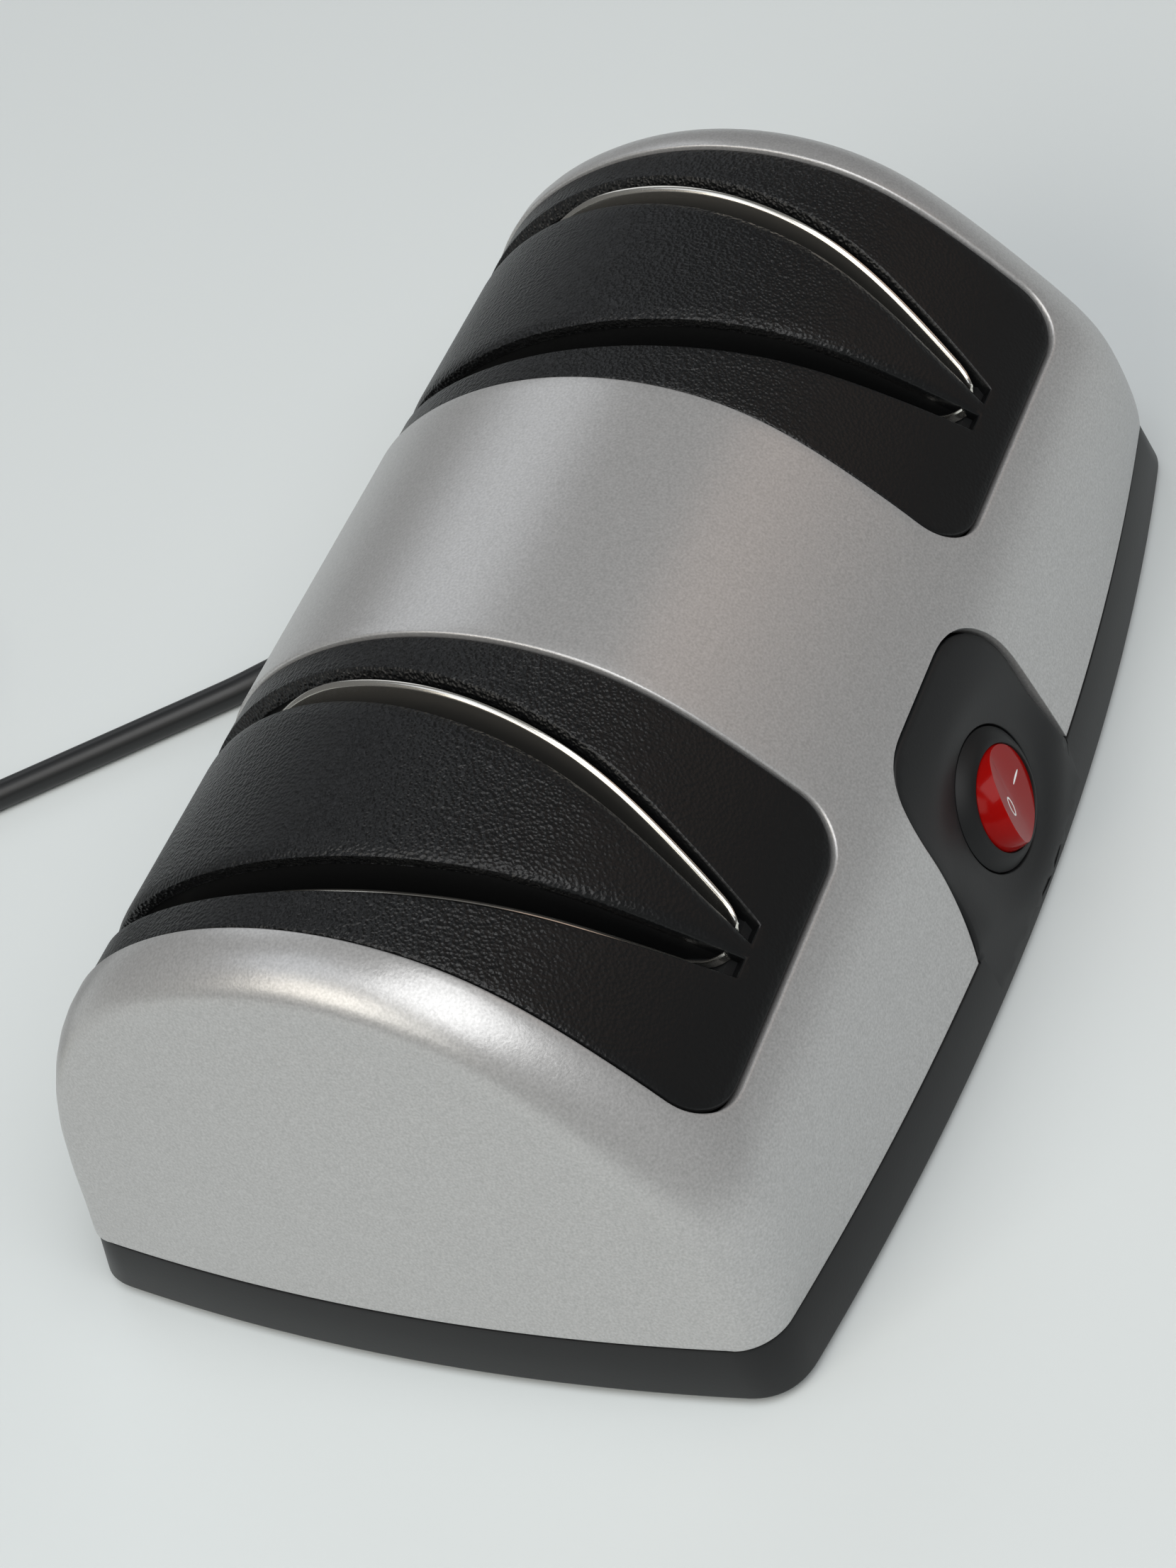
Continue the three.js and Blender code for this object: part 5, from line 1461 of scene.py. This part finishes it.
# Stainless spring steel, rolled and polished: mirror-like, with faint draw lines along its length.
# The lines are drawn 0.5 mm apart, coarser than they are, so that they show.
line_pitch = 0.5
line_run = 14
line_depth = 0.004
spring_stainless, tree, shader = new_finish("polished_spring_stainless", "#e2dfd7", 0.2, 0.96)
place = add_node(tree, "TexCoord").outputs["Object"]
stretch = [1 / (size * MM) for size in (line_pitch, line_run, line_pitch)]
drawn = add_node(tree, "Mapping", {"Vector": place, "Scale": stretch})
lines = add_node(tree, "TexNoise", {"Vector": drawn.outputs["Vector"], "Scale": 1.0, "Detail": 2.0})
bump = add_node(tree, "Bump", {
    "Height": lines.outputs["Fac"], "Distance": line_depth * MM, "Strength": 1.0,
})
tree.links.new(bump.outputs["Normal"], shader.inputs["Normal"])
for stage, middle in stages:
    for name, side in sides:
        spring = guide_spring(f"{stage}_leaf_{name}", middle, side)
        clothe(spring, spring_stainless)
        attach(spring, f"{stage}_guide_spring_{name}")
        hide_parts(f"{stage}_spring_{name}")

# Grinding wheels: pressed discs of abrasive grit in resin, with coned edges and a hub outside. They
# stand in pairs on the motor's shaft, one under each slot, held by a sleeve and a collar.
hub_radius = 8
hub_length = 9
wheel_cone = 1.2
shaft_bore = 3.3
wheel_sides = 96
cone_radius = wheel_radius - wheel_cone
wheel_sections = [
    (shaft_bore, 0), (hub_radius, 0), (wheel_radius - 3, 0), (cone_radius - 0.15, 0),
    (cone_radius + 0.1, 0.1), (wheel_radius - 0.12, wheel_cone - 0.1),
    (wheel_radius, wheel_cone + 0.12), (wheel_radius, wheel_thickness - wheel_cone - 0.12),
    (wheel_radius - 0.12, wheel_thickness - wheel_cone + 0.1),
    (cone_radius + 0.1, wheel_thickness - 0.1),
    (cone_radius - 0.15, wheel_thickness), (hub_radius + 0.4, wheel_thickness),
    (hub_radius, wheel_thickness + 0.4), (hub_radius, hub_length - 0.3),
    (hub_radius - 0.3, hub_length), (shaft_bore, hub_length), (shaft_bore, 0),
]


grit_height = 0.08


def grit_finish(name, hex_colour, grain_mm):
    """Bonded abrasive: rough all over, with pale and dark grains."""
    material, tree, shader = new_finish(name, hex_colour, 0.85)
    place = add_node(tree, "TexCoord").outputs["Object"]
    grains = add_node(tree, "TexVoronoi", {"Vector": place, "Scale": 1 / (grain_mm * MM)})
    tone = add_node(tree, "HueSaturation", {"Color": linear(hex_colour)})
    spread = add_node(tree, "MapRange", {
        "Value": grains.outputs["Distance"], "To Min": 0.6, "To Max": 1.3,
    })
    tree.links.new(spread.outputs["Result"], tone.inputs["Value"])
    tree.links.new(tone.outputs["Color"], shader.inputs["Base Color"])
    bump = add_node(tree, "Bump", {
        "Height": grains.outputs["Distance"], "Distance": grit_height * MM, "Strength": 1.0,
    })
    tree.links.new(bump.outputs["Normal"], shader.inputs["Normal"])
    return material


grits = {
    "coarse": grit_finish("bonded_corundum_coarse", "#5b5a57", 0.45),
    "fine": grit_finish("bonded_corundum_fine", "#8d8b85", 0.3),
}
for stage, middle in stages:
    for name, side in sides:
        base = Matrix.Translation((middle + side * wheel_offset, shaft_y, shaft_z))
        turn = Matrix.Rotation(side * math.pi / 2, 4, "Y")
        wheel = turned(f"{stage}_disc_{name}", wheel_sections, base @ turn, wheel_sides)
        clothe(wheel, grits[stage])
        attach(wheel, "spindle")
        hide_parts(f"{stage}_wheel_{name}")

# Motor, shaft, fan, feet and screws: bought-in or plain turned pieces inside and under the housing.
# They keep their solids, and each gets the finish of its own metal, plastic or rubber.
def banded(name, hex_colour, roughness, metallic, pitch_mm, axis, depth_mm):
    """A finish with fine parallel bands, as of stacked sheets, wound wire or turning marks."""
    material, tree, shader = new_finish(name, hex_colour, roughness, metallic)
    place = add_node(tree, "TexCoord").outputs["Object"]
    wave_scale = math.pi / 10 / (pitch_mm * MM)
    pattern = {"Vector": place, "Scale": wave_scale, "Distortion": 0.4, "Detail": 1.0}
    bands = add_node(tree, "TexWave", pattern, bands_direction=axis)
    bump = add_node(tree, "Bump", {
        "Height": bands.outputs["Fac"], "Distance": depth_mm * MM, "Strength": 1.0,
    })
    tree.links.new(bump.outputs["Normal"], shader.inputs["Normal"])
    return material


def speckled(name, hex_colour, roughness, metallic, grain_mm, depth_mm):
    """A finish with a fine random texture, as of a casting, a plated screw or moulded rubber."""
    material, tree, shader = new_finish(name, hex_colour, roughness, metallic)
    add_grain(tree, shader, grain_mm, depth_mm)
    return material


stacked_steel = banded("stacked_electrical_steel", "#6c6f73", 0.45, 0.9, 1.0, "X", 0.05)
enamelled_copper = banded("enamelled_copper_winding", "#a2552b", 0.3, 0.8, 0.8, "X", 0.1)
ground_shaft = banded("ground_shaft_steel", "#b5b7b9", 0.25, 1.0, 0.8, "X", 0.004)
cast_zinc = speckled("die_cast_zinc", "#8f9296", 0.5, 1.0, 0.8, 0.03)
oiled_bronze = speckled("sintered_oiled_bronze", "#8a6a3e", 0.55, 1.0, 0.4, 0.02)
plated_screw = speckled("zinc_plated_screw_steel", "#b4b7b8", 0.35, 1.0, 0.5, 0.01)
moulded_nylon = speckled("moulded_nylon_natural", "#dedbd0", 0.5, 0.0, 0.8, 0.01)
foot_rubber = speckled("moulded_foot_rubber", "#202122", 0.8, 0.0, 0.6, 0.03)
rolled_brass = speckled("rolled_terminal_brass", "#b4975a", 0.3, 1.0, 0.5, 0.004)
inside_finishes = {
    "motor_stator": stacked_steel, "rotor": stacked_steel, "motor_coil": enamelled_copper,
    "motor_bracket": cast_zinc, "motor_bearing": oiled_bronze, "end_bearing": oiled_bronze,
    "motor_bolt": plated_screw, "screw": plated_screw, "drive_shaft": ground_shaft,
    "coarse_spacer": ground_shaft, "fine_spacer": ground_shaft, "coarse_collar": ground_shaft,
    "fine_collar": ground_shaft, "cooling_fan": moulded_nylon, "foot": foot_rubber,
    "switch_terminal": rolled_brass,
}
for start, finish in inside_finishes.items():
    for name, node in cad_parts.items():
        if name.startswith(start):
            for i in range(len(node.data.materials)):
                node.data.materials[i] = finish
            if not node.data.materials:
                node.data.materials.append(finish)

# Worktop and studio light: a plain pale matt top, a soft even sky, and large soft lamps. The widest
# stands over the camera, and the others lift the left end and the back.
floor_half = 3.0
bpy.ops.mesh.primitive_plane_add(size=2 * floor_half, location=(0, 0, 0))
worktop = active_piece("worktop")
worktop_paint, tree, shader = new_finish("matt_painted_worktop", "#d9dfe0", 0.55)
add_grain(tree, shader, 6, 0.02)
clothe(worktop, worktop_paint)

world = bpy.data.worlds.new("studio")
world.use_nodes = True
bpy.context.scene.world = world
sky = world.node_tree.nodes["Background"]
sky.inputs["Color"].default_value = linear("#f4f6f7")
sky.inputs["Strength"].default_value = 0.14
lamp_distance = 2.4
soft_lamps = [
    ("over_the_camera", (-0.235, -0.407, 0.883), 1.9, 39.5, "#ffffff"),
    ("left", (-0.809, 0, 0.588), 1.2, 8.5, "#fffcf4"),
    ("left_back", (-0.694, 0.324, 0.643), 1.2, 14, "#fff7ea"),
    ("high_back", (-0.235, 0.407, 0.883), 1.2, 5, "#f0f6ff"),
    ("right_back", (0.572, 0.572, 0.588), 1.2, 4.2, "#f6faff"),
    ("right_front", (0.572, -0.572, 0.588), 1.2, 2, "#ffd8c0"),
]


def add_soft_lamp(name, way, side, watts, hex_colour):
    """A large square soft lamp that faces the object from a direction."""
    place = Vector(way).normalized() * lamp_distance
    turn = (-place).to_track_quat("-Z", "Y").to_euler()
    bpy.ops.object.light_add(type="AREA", location=place, rotation=turn)
    lamp = bpy.context.object
    lamp.name = name
    lamp.data.shape = "SQUARE"
    lamp.data.size = side
    lamp.data.energy = watts
    lamp.data.color = linear(hex_colour)[:3]


for name, way, side, watts, hex_colour in soft_lamps:
    add_soft_lamp(name, way, side, watts, hex_colour)
